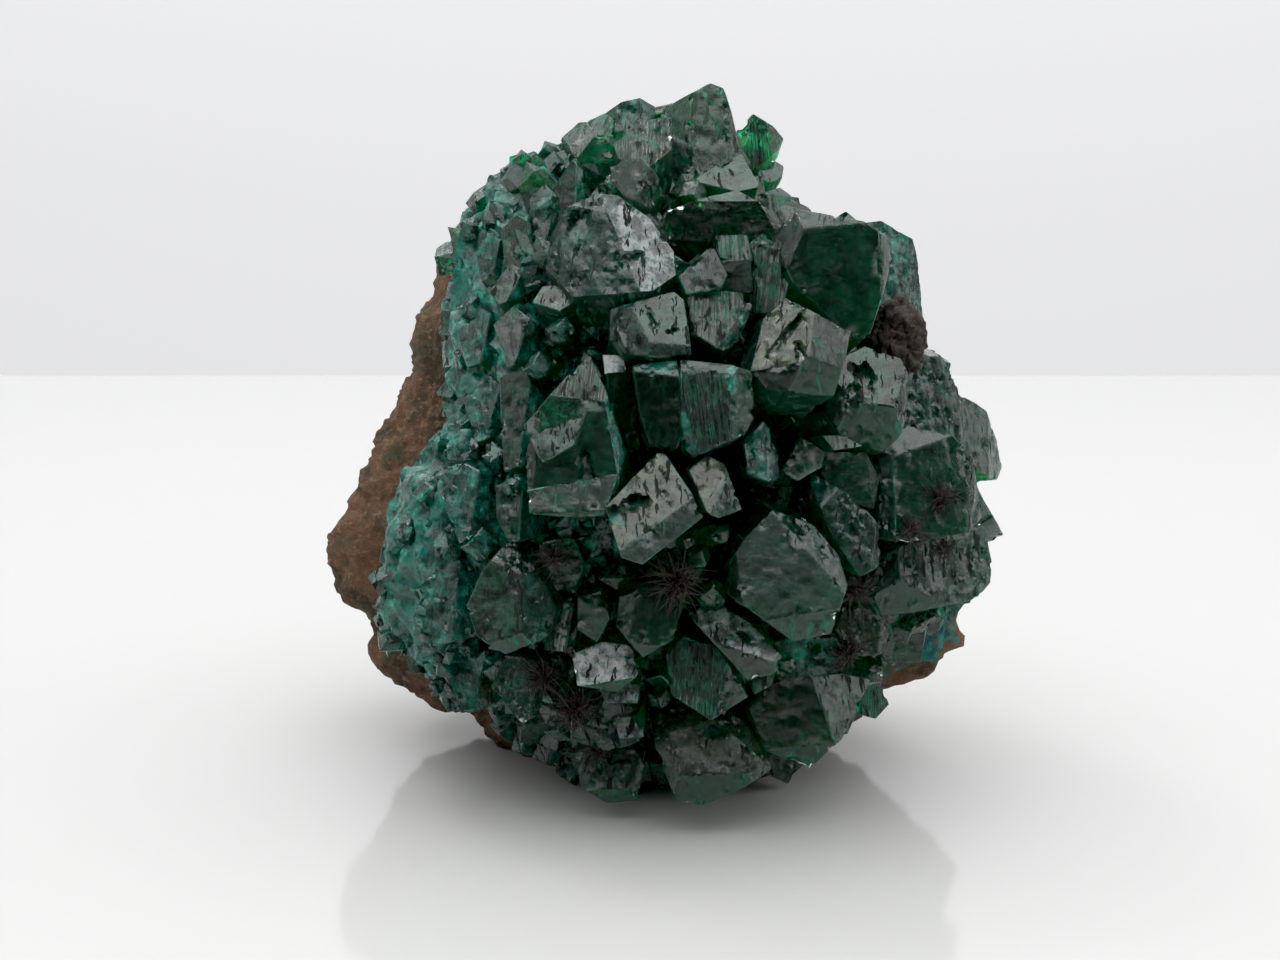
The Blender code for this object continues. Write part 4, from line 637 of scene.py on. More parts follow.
def cells(u, v, seed):
    """The scattered point nearest to each place: its number, the way to it, how much farther the next is."""
    base_u, base_v = np.floor(u), np.floor(v)
    best, second = np.full(u.shape, 9.0), np.full(u.shape, 9.0)
    number, way_u, way_v = np.zeros(u.shape), np.zeros(u.shape), np.zeros(u.shape)
    for i, j in itertools.product((-1, 0, 1), repeat=2):
        cell_u, cell_v = base_u + i, base_v + j
        to_u = cell_u + 0.1 + 0.8 * scrambled(cell_u, cell_v, seed=seed) - u
        to_v = cell_v + 0.1 + 0.8 * scrambled(cell_u, cell_v, seed=seed + 1) - v
        away = np.hypot(to_u, to_v)
        nearer = away < best
        second = np.where(nearer, best, np.minimum(second, away))
        best = np.where(nearer, away, best)
        number = np.where(nearer, scrambled(cell_u, cell_v, seed=seed + 2), number)
        way_u, way_v = np.where(nearer, to_u, way_u), np.where(nearer, to_v, way_v)
    return number, way_u, way_v, second - best


def relief(u, v, rim, finish, seed):
    """Height in millimetres of a face's steps, stripes, pits and mosaic; rim is the distance to its edge."""
    steps, stripes, pits, mosaic = FINISHES[finish][4:]
    places = np.stack((u, v), axis=1)
    inside = np.clip(rim / RIM_FADE, 0, 1)
    height = SWELL * soft_noise(places * 0.33, seed + 3)
    slope = u * (0.35 + 0.3 * math.sin(seed)) + v * 0.30 + 0.9 * soft_noise(places * 0.35, seed + 4)
    height = height + steps * (slope - np.floor(slope) - 0.5)
    if stripes:
        ribs = soft_noise(np.stack((u * 1.15 + seed, v * 0.05), axis=1), seed + 5)
        height = height + stripes * np.sign(ribs) * np.sqrt(np.abs(ribs))
    if mosaic > LEAST_RELIEF:
        number, to_u, to_v, _ = cells(u * 0.62 + 0.3 * soft_noise(places * 0.8, seed + 6), v * 0.5, seed + 7)
        tile = number - 0.5 + 0.9 * to_u * np.sin(number * 40) + 0.9 * to_v * np.cos(number * 57)
        height = height + mosaic * tile
    if pits > LEAST_RELIEF:
        number, to_u, to_v, _ = cells(u * 1.05, v * 0.95, seed + 9)
        angular = np.maximum(np.abs(to_u), np.abs(to_u) * 0.5 + to_v * 0.87)
        depth = np.clip(1 - np.abs(angular) / 0.42, 0, 1)
        height = height - 1.6 * pits * depth * (number > 0.62) * (soft_noise(places * 0.3, seed + 10) > -0.25)
    return height * inside


def rim_distance(corners, u, v):
    """How far inside a convex outline each place lies."""
    ways = np.roll(corners, -1, axis=0) - corners
    lengths = np.hypot(*ways.T)
    return np.min([(w[0] * (v - c[1]) - w[1] * (u - c[0])) / n
                   for c, w, n in zip(corners, ways, lengths) if n > 1e-9], axis=0)


def inner_places(corners, spacing, spacing_at, lift):
    """Evenly spread places inside a flat convex face, wider apart where spacing_at says so."""
    low, high = corners.min(0), corners.max(0)
    kept = []
    for level in range(4):
        gap = spacing * 2 ** level
        across = np.arange(low[0], high[0], gap)
        along = np.arange(low[1], high[1], gap * 0.866)
        if not len(across) or not len(along):
            break
        u, v = np.meshgrid(across, along)
        u = u + (np.arange(len(along)) % 2 * 0.5 * gap)[:, None]
        u, v = u.ravel(), v.ravel()
        u = u + (scrambled(np.rint(u / gap * 2), np.rint(v / gap * 2), seed=3) - 0.5) * 0.3 * gap
        v = v + (scrambled(np.rint(u / gap * 2), np.rint(v / gap * 2), seed=4) - 0.5) * 0.3 * gap
        keep = rim_distance(corners, u, v) > 0.6 * gap
        u, v = u[keep], v[keep]
        want = spacing_at(lift(u, v))
        keep = (want >= gap * 0.75) & (want < gap * 1.5) if level else want < gap * 1.5
        kept.append(np.stack((u[keep], v[keep]), axis=1))
    return np.concatenate(kept) if kept else np.zeros((0, 2))


def hull_of(points):
    """The convex solid round the points."""
    bm = bmesh.new()
    verts = [bm.verts.new(p) for p in points]
    bmesh.ops.convex_hull(bm, input=verts)
    bmesh.ops.delete(bm, geom=[v for v in verts if v.is_valid and not v.link_faces], context="VERTS")
    return bm


def worn_hull(points):
    """The convex solid round the points, its flat faces whole and its edges worn off."""
    bm = hull_of(points)
    bmesh.ops.dissolve_limit(bm, angle_limit=math.radians(0.8), verts=bm.verts[:], edges=bm.edges[:])
    bmesh.ops.remove_doubles(bm, verts=bm.verts[:], dist=0.05)
    bmesh.ops.bevel(bm, geom=bm.verts[:] + bm.edges[:], offset=BEVEL, offset_type="OFFSET", segments=1,
                    profile=0.5, affect="EDGES", clamp_overlap=True)
    bmesh.ops.remove_doubles(bm, verts=bm.verts[:], dist=0.02)
    bmesh.ops.dissolve_degenerate(bm, edges=bm.edges[:], dist=0.01)
    bmesh.ops.recalc_face_normals(bm, faces=bm.faces)
    bm.verts.index_update()
    return bm


def divided_edges(bm, places, spacing_at):
    """Adds the points that divide each edge to places, and gives their numbers for each edge."""
    on_edge = {}
    for edge in bm.edges:
        start, end = (np.array(v.co) for v in edge.verts)
        length = np.linalg.norm(end - start)
        at, marks = 0.0, []
        while True:
            step = float(spacing_at(start + (end - start) * at / length)) if length else 1.0
            at += step
            if at > length - 0.6 * step:
                break
            marks.append(at)
        on_edge[edge] = list(range(len(places), len(places) + len(marks)))
        places += [start + (end - start) * (mark / length) for mark in marks]
    return on_edge


def face_axes(normal, upright, twist):
    """Two directions in a face, the second near the crystal's upright and twisted a little."""
    level = upright - normal * upright.dot(normal)
    if level.length < 0.3:
        level = RIGHT - normal * RIGHT.dot(normal)
    level = Matrix.Rotation(twist, 3, normal) @ level.normalized()
    return np.array((level.cross(normal), level))


def meshed_face(face, axes, places, on_edge, spacing, spacing_at):
    """A flat face in fine triangles: the numbers of its rim's points, all its points on its own axes, the
    places of those inside it, each point's distance to the rim, and the triangles."""
    middle = np.array(face.calc_center_median())
    ring = []
    for loop in face.loops:
        ring.append(loop.vert.index)
        marks = on_edge[loop.edge]
        ring += marks if loop.edge.verts[0] == loop.vert else marks[::-1]
    ring = np.array(ring)
    flat = (places[ring] - middle) @ axes.T
    corners = (np.array([np.array(loop.vert.co) for loop in face.loops]) - middle) @ axes.T
    after = np.roll(corners, -1, axis=0)
    if np.sum(corners[:, 0] * after[:, 1] - corners[:, 1] * after[:, 0]) < 0:
        ring, flat, corners = ring[::-1], flat[::-1], corners[::-1]
    inner = np.zeros((0, 2))
    if face.calc_area() > 0.4:
        inner = inner_places(corners, spacing, spacing_at,
                             lambda u, v: middle + np.stack((u, v), axis=1) @ axes)
    spots = np.concatenate((flat, inner))
    rim_edges = [(i, (i + 1) % len(ring)) for i in range(len(ring))]
    made = geometry.delaunay_2d_cdt([Vector(p) for p in spots.tolist()], rim_edges, [], 1, 1e-6)
    source = np.array([o[0] if o else 0 for o in made[3]])
    tris = source[np.array(made[2], dtype=int).reshape(-1, 3)]
    rim = np.zeros(len(spots))
    if len(inner):
        rim[len(ring):] = rim_distance(corners, inner[:, 0], inner[:, 1])
    return ring, spots, middle + inner @ axes, rim, tris


def outward_normals(places, corner_ids):
    """The outward direction at each point of a mesh."""
    a, b, c = (places[corner_ids[:, k]] for k in range(3))
    cross = np.cross(b - a, c - a)
    outward = np.zeros_like(places)
    for k in range(3):
        np.add.at(outward, corner_ids[:, k], cross)
    return outward / np.maximum(np.linalg.norm(outward, axis=1), 1e-9)[:, None]


def crystal_shell(points, top, inward, shown_depth, spacing, upright, finish_of, seed):
    """A crystal's finely meshed surface: places in millimetres, triangles, a finish for each triangle and a
    grain place for each corner."""
    bm = worn_hull(points)
    top, inward = np.array(top), np.array(inward)

    def spacing_at(places):
        depth = (places - top) @ inward
        return spacing * np.clip(1 + (depth - shown_depth) / WIDER_EVERY, 1, WIDEST)

    places = [np.array(v.co) for v in bm.verts]
    on_edge = divided_edges(bm, places, spacing_at)
    blocks, parts, count = [np.array(places)], [], len(places)
    for face in bm.faces:
        normal = face.normal
        if normal.length < 0.5 or face.calc_area() < 1e-5:
            continue
        axes = face_axes(normal, upright, 0.14 * math.sin(seed * 1.7 + len(parts)))
        ring, spots, inner, rim, tris = meshed_face(face, axes, blocks[0], on_edge, spacing, spacing_at)
        ids = np.concatenate((ring, np.arange(count, count + len(inner))))
        count += len(inner)
        blocks.append(inner)
        narrow = face.calc_area() < NARROW * face.calc_perimeter()
        parts.append((np.array(normal), finish_of(normal), spots, ids, tris, rim, narrow))
    bm.free()

    total = np.concatenate(blocks)
    moved, from_edge = np.zeros((count, 3)), np.zeros(count)
    corner_ids, kinds, grain = [], [], []
    for number, (normal, finish, spots, ids, tris, rim, narrow) in enumerate(parts):
        from_edge[ids] = rim
        if len(spots) > np.count_nonzero(rim == 0):
            height = relief(spots[:, 0], spots[:, 1], rim, finish, seed * 13 + number)
            moved[ids] += height[:, None] * normal
        a, b, c = (total[ids[tris[:, k]]] for k in range(3))
        turned = np.cross(b - a, c - a) @ normal
        tris = np.where((turned < 0)[:, None], tris[:, ::-1], tris)
        corner_ids.append(ids[tris])
        kind = FINISHES[finish][:4]
        # by lot, some narrow edge faces get the painted teal glint, others the painted pale highlight
        if narrow:
            lot = float(scrambled(np.array([number]), seed=seed)[0])
            kind = TEAL_GLINT_EDGE if lot < TEAL_GLINT_SHARE else PALE_HIGHLIGHT_EDGE if lot < PALE_HIGHLIGHT_SHARE else kind
        kinds.append(np.tile(kind, (len(tris), 1)))
        # a grain of its own for each face of each crystal
        flat = np.concatenate((spots, np.full((len(spots), 1), 17.0 * number + 61.0 * seed)), axis=1)
        grain.append(flat[tris].reshape(-1, 3))
    total, corner_ids = total + moved, np.concatenate(corner_ids)
    outward = outward_normals(total, corner_ids)
    rough = layered_noise(total * 0.9 + seed, 5, 2)
    chips = np.clip(layered_noise(total * 0.8 + seed * 3.1, 9, 3) - 0.35, 0, 0.45)
    total = total + outward * (0.02 * rough - chips * (0.15 + 0.75 * np.exp(-from_edge / 0.45)))[:, None]
    return total, corner_ids, np.concatenate(kinds), np.concatenate(grain)


def with_hollows_and_glints(places, name, seed):
    """A block's places with its broken hollows pressed in along the line of sight, and each one's finish;
    patches of finish w are painted glints.
    """
    hollow_and_glint = np.full(len(places), "")
    for block, across, up, half_width, half_height, turn, depth, letter in HOLLOWS_AND_GLINTS:
        if block != name:
            continue
        from_middle = places - np.array(MIDDLE)
        near = 1.0 + from_middle @ np.array(SIGHT) / EYE_DISTANCE
        right = from_middle @ np.array(RIGHT) / near - across
        above = from_middle @ np.array(UPWARD) / near - up
        cosine, sine = math.cos(math.radians(turn)), math.sin(math.radians(turn))
        upward = (above * cosine - right * sine) / half_height
        reach = np.hypot((right * cosine + above * sine) / half_width, upward)
        reach = reach + 0.35 * layered_noise(places * 1.3, seed + 80, 2)
        behind = (from_middle - (on_front(across, up, 0.0) - MIDDLE)) @ np.array(SIGHT)
        facing_us = np.clip((8.0 - behind) / 2, 0, 1)
        pressed = depth * np.clip((1 - reach) * 3.5, 0, 1) * np.clip(1 + 0.9 * upward, 0, 2) * facing_us
        places = places + np.outer(pressed, np.array(SIGHT))
        hollow_and_glint[(reach < 0.95) & (facing_us > 0.5)] = letter
    return places, hollow_and_glint


def block_shell(row, seed, spacing):
    """The surface of a crystal from a row of BLOCKS, with its looks, hollows and painted glint patches."""
    name, outline, peak, length, faces = row
    directions = [facing(*f[:2]) for f in faces]
    letters = LOOKS[name]

    def finish_of(normal):
        if normal.z < TURNED_DOWN:
            return "u"
        for direction, letter in zip(directions, letters):
            if normal.dot(direction) > SAME_WAY:
                return letter
        return letters[-1]

    points = block_points(outline, peak, length, faces)
    places, corner_ids, kinds, grain = crystal_shell(points, on_front(*peak), SIGHT, SHOWN_DEPTH, spacing,
                                                     UPWARD, finish_of, seed)
    places, hollow_and_glint = with_hollows_and_glints(places, name, seed)
    for letter in set(hollow_and_glint) - {""}:
        kinds[np.all((hollow_and_glint == letter)[corner_ids], axis=1)] = FINISHES[letter][:4]
    return places, corner_ids, kinds, grain


def prism_shell(tip, axis, points, radius, letters, seed, spacing):
    """The surface of a crystal of dioptase's own form; the letters are for its end faces and its sides."""
    def finish_of(normal):
        return letters[0] if normal.dot(axis) > 0.4 else letters[1]

    return crystal_shell(points, tip, -axis, radius * 1.3 + 2.5, spacing, axis, finish_of, seed)


def keep_on(mesh, name, domain, values):
    """Keep a number or a vector for each face, point or corner of a mesh, for its material or node tree."""
    values = np.asarray(values, np.float32)
    kind, field = ("FLOAT", "value") if values.ndim == 1 else ("FLOAT_VECTOR", "vector")
    mesh.attributes.new(name, kind, domain).data.foreach_set(field, values.ravel())


def mesh_from(name, places, corner_ids, kinds=None, grain=None):
    """A mesh in metres from places in millimetres and triangles, flat where it would sink into the table."""
    places = np.stack((places[:, 0], places[:, 1], np.maximum(places[:, 2], 0.0)), axis=1)
    mesh = bpy.data.meshes.new(name)
    mesh.vertices.add(len(places))
    mesh.vertices.foreach_set("co", (places * MM).astype(np.float32).ravel())
    mesh.loops.add(corner_ids.size)
    mesh.loops.foreach_set("vertex_index", corner_ids.astype(np.int32).ravel())
    mesh.polygons.add(len(corner_ids))
    mesh.polygons.foreach_set("loop_start", np.arange(0, corner_ids.size, 3, dtype=np.int32))
    mesh.update(calc_edges=True)
    if kinds is not None:
        for column, kind in enumerate(KINDS):
            keep_on(mesh, kind, "FACE", kinds[:, column])
        keep_on(mesh, "grain", "CORNER", grain)
    return mesh


def add_object(name, data, collection=None):
    """A new object with its data, in the scene or in a collection."""
    made = bpy.data.objects.new(name, data)
    (collection or bpy.context.scene.collection).objects.link(made)
    return made


def smooth_between_edges(mesh, angle):
    """Smooth shading, broken where two faces meet at more than this angle in degrees."""
    mesh.polygons.foreach_set("use_smooth", np.ones(len(mesh.polygons), bool))
    mesh.set_sharp_from_angle(angle=math.radians(angle))


class Nodes:
    """Short ways to add the nodes of a tree and link them."""

    def __init__(self, tree):
        self.tree = tree

    def add(self, kind, settings=None, **inputs):
        """A new node, its inputs set or linked; each has _ in its name for a space, or is i and a number."""
        node = self.tree.nodes.new(kind)
        for label, value in (settings or {}).items():
            setattr(node, label, value)
        for label, value in inputs.items():
            self.put(node, label.replace("_", " "), value)
        return node

    def put(self, node, label, value):
        numbered = label[0] == "i" and label[1:].isdigit()
        socket = node.inputs[int(label[1:]) if numbered else label]
        if isinstance(value, bpy.types.NodeSocket):
            self.tree.links.new(value, socket)
        else:
            socket.default_value = value

    def sum(self, operation, first, second=0.0, third=0.0, clamp=False):
        return self.add("ShaderNodeMath", {"operation": operation, "use_clamp": clamp}, i0=first, i1=second,
                        i2=third).outputs[0]

    def vector_sum(self, operation, *values):
        inputs = {f"i{k}": value for k, value in enumerate(values)}
        return self.add("ShaderNodeVectorMath", {"operation": operation}, **inputs).outputs

    def scaled(self, vector, scale):
        return self.add("ShaderNodeVectorMath", {"operation": "SCALE"}, i0=vector, Scale=scale).outputs[0]

    def ramp(self, value, low, high, to_low=0.0, to_high=1.0):
        return self.add("ShaderNodeMapRange", {"interpolation_type": "SMOOTHSTEP"}, Value=value, From_Min=low,
                        From_Max=high, To_Min=to_low, To_Max=to_high).outputs[0]

    def noise(self, vector, scale, detail=3.0, roughness=0.55):
        return self.add("ShaderNodeTexNoise", Vector=vector, Scale=scale, Detail=detail,
                        Roughness=roughness).outputs["Fac"]

    def placed(self, vector, scale=(1, 1, 1), rotation=(0, 0, 0), location=(0, 0, 0)):
        return self.add("ShaderNodeMapping", Vector=vector, Scale=scale, Rotation=rotation,
                        Location=location).outputs[0]

    def body(self):
        """The place on the piece, in millimetres."""
        return self.placed(self.add("ShaderNodeTexCoord").outputs["Object"], (1 / MM,) * 3)

    def mix(self, share, first, second):
        """A colour between two others."""
        first, second = (c if isinstance(c, bpy.types.NodeSocket) else (*c, 1.0) for c in (first, second))
        return self.add("ShaderNodeMix", {"data_type": "RGBA"}, i0=share, i6=first, i7=second).outputs[2]

    def read(self, name, output="Fac"):
        return self.add("ShaderNodeAttribute", {"attribute_name": name}).outputs[output]

    def bump(self, height, strength, distance):
        return self.add("ShaderNodeBump", Strength=strength, Distance=distance, Height=height).outputs[0]

    def finish(self, **inputs):
        """Sets or links the inputs of the material's surface."""
        for label, value in inputs.items():
            self.put(self.tree.nodes["Principled BSDF"], label.replace("_", " "), value)


def new_tree(name, inputs):
    """A new node tree for a modifier: each input is (name, socket type, default or None)."""
    tree = bpy.data.node_groups.new(name, "GeometryNodeTree")
    tree.interface.new_socket("Geometry", in_out="OUTPUT", socket_type="NodeSocketGeometry")
    for label, kind, value in inputs:
        socket = tree.interface.new_socket(label, in_out="INPUT", socket_type=kind)
        if value is not None:
            socket.default_value = value
    return Nodes(tree), tree.nodes.new("NodeGroupInput").outputs


def end_tree(n, geometry_socket, material_socket):
    """The tree's last two nodes: the material is set, and the geometry goes out."""
    finish = n.add("GeometryNodeSetMaterial", Geometry=geometry_socket, Material=material_socket)
    n.add("NodeGroupOutput", i0=finish.outputs[0])
    return n.tree


def give_inputs(modifier, values):
    """Set a modifier's inputs through their sockets' identifiers."""
    for item in modifier.node_group.interface.items_tree:
        if item.in_out == "INPUT" and item.name in values:
            modifier[item.identifier] = values[item.name]


def as_plain_mesh(host, name):
    """The evaluated result of an object's modifiers as a new object's mesh; the object itself is removed."""
    seen = host.evaluated_get(bpy.context.evaluated_depsgraph_get())
    mesh = bpy.data.meshes.new_from_object(seen)
    mesh.name = name
    flat = np.zeros(len(mesh.vertices) * 3, np.float32)
    mesh.vertices.foreach_get("co", flat)
    flat[2::3] = np.maximum(flat[2::3], 0.0)
    mesh.vertices.foreach_set("co", flat)
    bpy.data.objects.remove(host)
    return add_object(name, mesh)


def joining_tree():
    """Joins a collection of crystals in one closed surface and cuts the matrix's room out of it."""
    n, given = new_tree("grown_together", [
        ("Crystals", "NodeSocketCollection", None), ("Matrix", "NodeSocketCollection", None),
        ("Material", "NodeSocketMaterial", None)])
    crystals = n.add("GeometryNodeCollectionInfo", Separate_Children=True, Collection=given["Crystals"])
    matrix = n.add("GeometryNodeCollectionInfo", Collection=given["Matrix"])
    joined = n.add("GeometryNodeMeshBoolean", {"operation": "UNION", "solver": "MANIFOLD"},
                   i1=crystals.outputs[0])
    cut = n.add("GeometryNodeMeshBoolean", {"operation": "DIFFERENCE", "solver": "MANIFOLD"},
                i0=joined.outputs[0], i1=matrix.outputs[0])
    return end_tree(n, cut.outputs[0], given["Material"])


def grown_together(name, shells, matrix_object, tree, material):
    """Join a group of crystals in one closed surface and cut it where the matrix begins."""
    group = bpy.data.collections.new(name + "_crystals")
    around = bpy.data.collections.new(name + "_matrix")
    for collection in (group, around):
        bpy.context.scene.collection.children.link(collection)
    around.objects.link(matrix_object)
    made = [add_object(f"{name}_{number}", mesh_from(f"{name}_{number}", *shell), group)
            for number, shell in enumerate(shells)]
    host = add_object(name + "_host", bpy.data.meshes.new(name + "_host"))
    modifier = host.modifiers.new("grown together", "NODES")
    modifier.node_group = tree
    give_inputs(modifier, {"Crystals": group, "Matrix": around, "Material": material})
    piece = as_plain_mesh(host, name)
    for crystal in made:
        mesh = crystal.data
        bpy.data.objects.remove(crystal)
        bpy.data.meshes.remove(mesh)
    for collection in (group, around):
        bpy.data.collections.remove(collection)
    smooth_between_edges(piece.data, CREASE)
    return piece


def ball_mesh(subdivisions):
    """A ball of radius 1 as places and triangles."""
    bm = bmesh.new()
    bmesh.ops.create_icosphere(bm, subdivisions=subdivisions, radius=1.0)
    places = np.array([v.co for v in bm.verts])
    corner_ids = np.array([[v.index for v in f.verts] for f in bm.faces])
    bm.free()
    return places, corner_ids


def outline_table(table, column=1):
    """An outline table as a function of angles in degrees, eased between its rows as along_outline does."""
    values = np.array([along_outline(table, angle / 4, column) for angle in range(1441)])
    return lambda angles: np.interp(np.mod(angles, 360) * 4, np.arange(1441), values)


def to_world(reach, middle=MIDDLE):
    """Places measured across, up and toward the viewer from a middle, as places in the frame."""
    return reach @ np.array((RIGHT, UPWARD, -SIGHT)) + np.array(middle)


def growth_base():
    """The closed mass of intergrown crystals that all the others stand on, as places and triangles."""
    ball, corner_ids = ball_mesh(7)
    angles = np.degrees(np.arctan2(ball[:, 1], ball[:, 0]))
    skin = outline_table(FRONT_OUTLINE, 2)(angles)
    edge = outline_table(FRONT_OUTLINE)(angles) - skin
    deep = BULGE - skin * np.hypot(ball[:, 0], ball[:, 1]) - 5.0 * np.abs(ball[:, 2])
    places = to_world(np.stack((ball[:, 0] * edge, ball[:, 1] * edge, ball[:, 2] * deep), axis=1))
    outward = outward_normals(places, corner_ids)
    height = 0.55 * layered_noise(places * 0.42, 31, 4)
    # upright blades on the left, and a mosaic of tiles all over
    across = places @ np.array(RIGHT)
    along = places @ np.array(UPWARD)
    blades = soft_noise(np.stack((across * 0.9 + 0.5 * soft_noise(places * 0.3, 35), along * 0.16,
                                  places[:, 1] * 0.35), axis=1), 36)
    height = height + (0.9 - 2.2 * np.abs(blades)) * np.clip(-across / 8 - 1.2, 0, 1)
    aside = places[:, 1] * 0.35
    tile, _, _, _ = cells(places[:, 0] * 0.5 + aside, places[:, 2] * 0.5 - aside, 33)
    height = height + 0.6 * (tile - 0.5)
    return places + outward * height[:, None], corner_ids


def matrix_places(subdivisions, extra=0.0, fine=True):
    """The matrix: a rounded block with lumps, ledges and pits; fine adds its grain."""
    ball, corner_ids = ball_mesh(subdivisions)
    outline = outline_table(ROCK_OUTLINE)(np.degrees(np.arctan2(ball[:, 1], ball[:, 0])))
    depth = np.where(ball[:, 2] > 0, ROCK_FRONT, ROCK_BACK)
    power = ROCK_SQUARENESS
    flat = np.hypot(ball[:, 0], ball[:, 1])
    radius = ((flat / outline) ** power + (np.abs(ball[:, 2]) / depth) ** power) ** (-1 / power)
    spur, height, spread = ROCK_SPUR
    away = np.arccos(np.clip(ball @ np.array(Vector(spur).normalized()), -1, 1))
    radius = radius + height * np.exp(-(away / spread) ** 2)
    lumps = np.zeros(len(ball))
    for i, (direction, reach) in enumerate(zip(ball, radius)):
        place = Vector(direction * reach)
        lump = ROCK_LUMP * noise.noise(place * 0.17) + 0.5 * ROCK_LUMP * noise.noise(place * 0.41)
        pit = noise.noise((place + Vector(direction) * lump) * 0.26 + Vector((31.0, 7.0, 3.0)))
        lumps[i] = lump - ROCK_PIT * max(0.0, pit - 0.22)
    reach = ball * (radius + lumps + extra)[:, None] + np.array(ROCK_MIDDLE)
    places = to_world(reach)
    if fine:
        outward = outward_normals(places, corner_ids)
        height = 0.55 * layered_noise(places * 0.55, 41, 3) + 0.30 * layered_noise(places * 1.4, 45, 2)
        height = height - 0.5 * np.clip(np.abs(soft_noise(places * 0.4, 47)) * -1 + 0.12, 0, 1) * 4
        places = places + outward * height[:, None]
    places[:, 2] = np.maximum(places[:, 2], 0.0 if fine else -5.0)
    return places, corner_ids


def new_material(name):
    """A new material and the ways to add its nodes."""
    material = bpy.data.materials.new(name)
    material.use_nodes = True
    return material, Nodes(material.node_tree)


def dioptase_material(settings):
    """Clear emerald with plain absorption, under films, growth lines and cracks that follow each face."""
    material, n = new_material(CLEAR)
    grain = n.read("grain", "Vector")
    film, tone, gloss, lines = (n.read(kind) for kind in KINDS)
    wavy = n.add("ShaderNodeTexNoise", {"noise_dimensions": "3D"}, Vector=grain, Scale=0.8, Detail=3.0)
    drift = n.vector_sum("MULTIPLY_ADD", wavy.outputs["Color"], (0.7, 0.7, 0.0), grain)[0]

    # Cracks in three directions, each: turn, width, length, how rare; and growth lines along the crystal
    crack = 0.0
    for turn, width, length, rare in ((0.25, 1.5, 0.24, 0.62), (1.75, 1.3, 0.28, 0.63),
                                      (0.95, 2.2, 0.6, 0.66)):
        stroke = n.noise(n.placed(drift, (width, length, 1), (0, 0, turn), (7 * turn, 3, 0)), 1.0, 3.0, 0.5)
        crack = n.sum("MAXIMUM", crack, n.ramp(stroke, rare, rare + 0.012))
    crack = n.sum("MULTIPLY", crack, n.ramp(lines, 0.1, 0.9))
    ribs = n.noise(n.placed(grain, (3.4, 0.08, 1)), 1.0, 3.0)
    ribbed = n.sum("MULTIPLY", n.ramp(ribs, 0.47, 0.55), n.ramp(lines, 1.1, 1.5, 0.0, 0.85))
    crack = n.sum("MAXIMUM", crack, ribbed)

    # Tiles that each lean their own way
    tiled = n.placed(drift, (0.55, 0.36, 1), (0, 0, 0.2))
    mosaic = n.add("ShaderNodeTexVoronoi", {"feature": "F1"}, Vector=tiled, Scale=1.0).outputs
    tilt = n.vector_sum("SUBTRACT", mosaic["Color"], (0.5, 0.5, 0.5))[0]
    within = n.vector_sum("SUBTRACT", tiled, mosaic["Position"])[0]
    tilted = n.vector_sum("DOT_PRODUCT", tilt, within)["Value"]

    # Colour of the films by their tone, over the tint where light enters; the films also carry painted
    # glints (turquoise) and a painted sheen (tone 2)
    etched = n.noise(grain, 1.9, 6.0, 0.62)
    patch = n.noise(drift, 0.55, 6.0, 0.62)
    cover = n.sum("MULTIPLY", film, n.ramp(patch, 0.40, 0.60, 0.30, 1.7), clamp=True)
    shade = n.ramp(n.noise(grain, 0.7, 4.0, 0.6), 0.50, 0.66)
    turquoise = n.mix(shade, (0.008, 0.18, 0.135), (0.046, 0.46, 0.325))
    warm = n.mix(n.ramp(tone, 0.0, 1.0), (0.048, 0.134, 0.084), (0.165, 0.225, 0.120))
    # tone 2 is a painted sheen: pale lilac grey for the reflection of the overhead light
    warm = n.mix(n.ramp(tone, 1.0, 2.0), warm, (0.30, 0.33, 0.33))
    colour = n.mix(n.ramp(tone, -1.0, 0.0, 1.0, 0.0), warm, turquoise)
    colour = n.mix(n.ramp(n.noise(grain, 1.3, 5.0, 0.65), 0.47, 0.64), colour, (0.006, 0.10, 0.06))
    surface = n.mix(n.ramp(cover, 0.0, 0.10), tuple(settings.skin_colour), colour)
    surface = n.mix(crack, surface, (0.0, 0.006, 0.004))

    clear = n.sum("MULTIPLY_ADD", cover, -0.95, 0.99)
    clear = n.sum("MULTIPLY_ADD", crack, -0.6, clear, clamp=True)
    rough = n.sum("ADD", gloss, n.ramp(etched, 0.38, 0.62, -0.05, 0.08))
    rough = n.sum("MULTIPLY_ADD", crack, 0.8, rough, clamp=True)
    height = n.sum("MULTIPLY_ADD", n.sum("SUBTRACT", etched, 0.5), 0.8, n.sum("MULTIPLY", ribs, lines))
    height = n.sum("MULTIPLY_ADD", tilted, n.ramp(lines, 0.2, 0.8, 0.3, 3.2), height)
    height = n.sum("MULTIPLY_ADD", crack, -1.2, height)
    n.finish(Base_Color=surface, Roughness=rough, Transmission_Weight=clear, IOR=settings.ior,
             Normal=n.bump(height, 0.6, 0.00012))
    volume = n.add("ShaderNodeVolumeAbsorption", Color=(*settings.depth_colour, 1.0),
                   Density=settings.depth_density)
    n.put(n.tree.nodes["Material Output"], "Volume", volume.outputs[0])
    return material


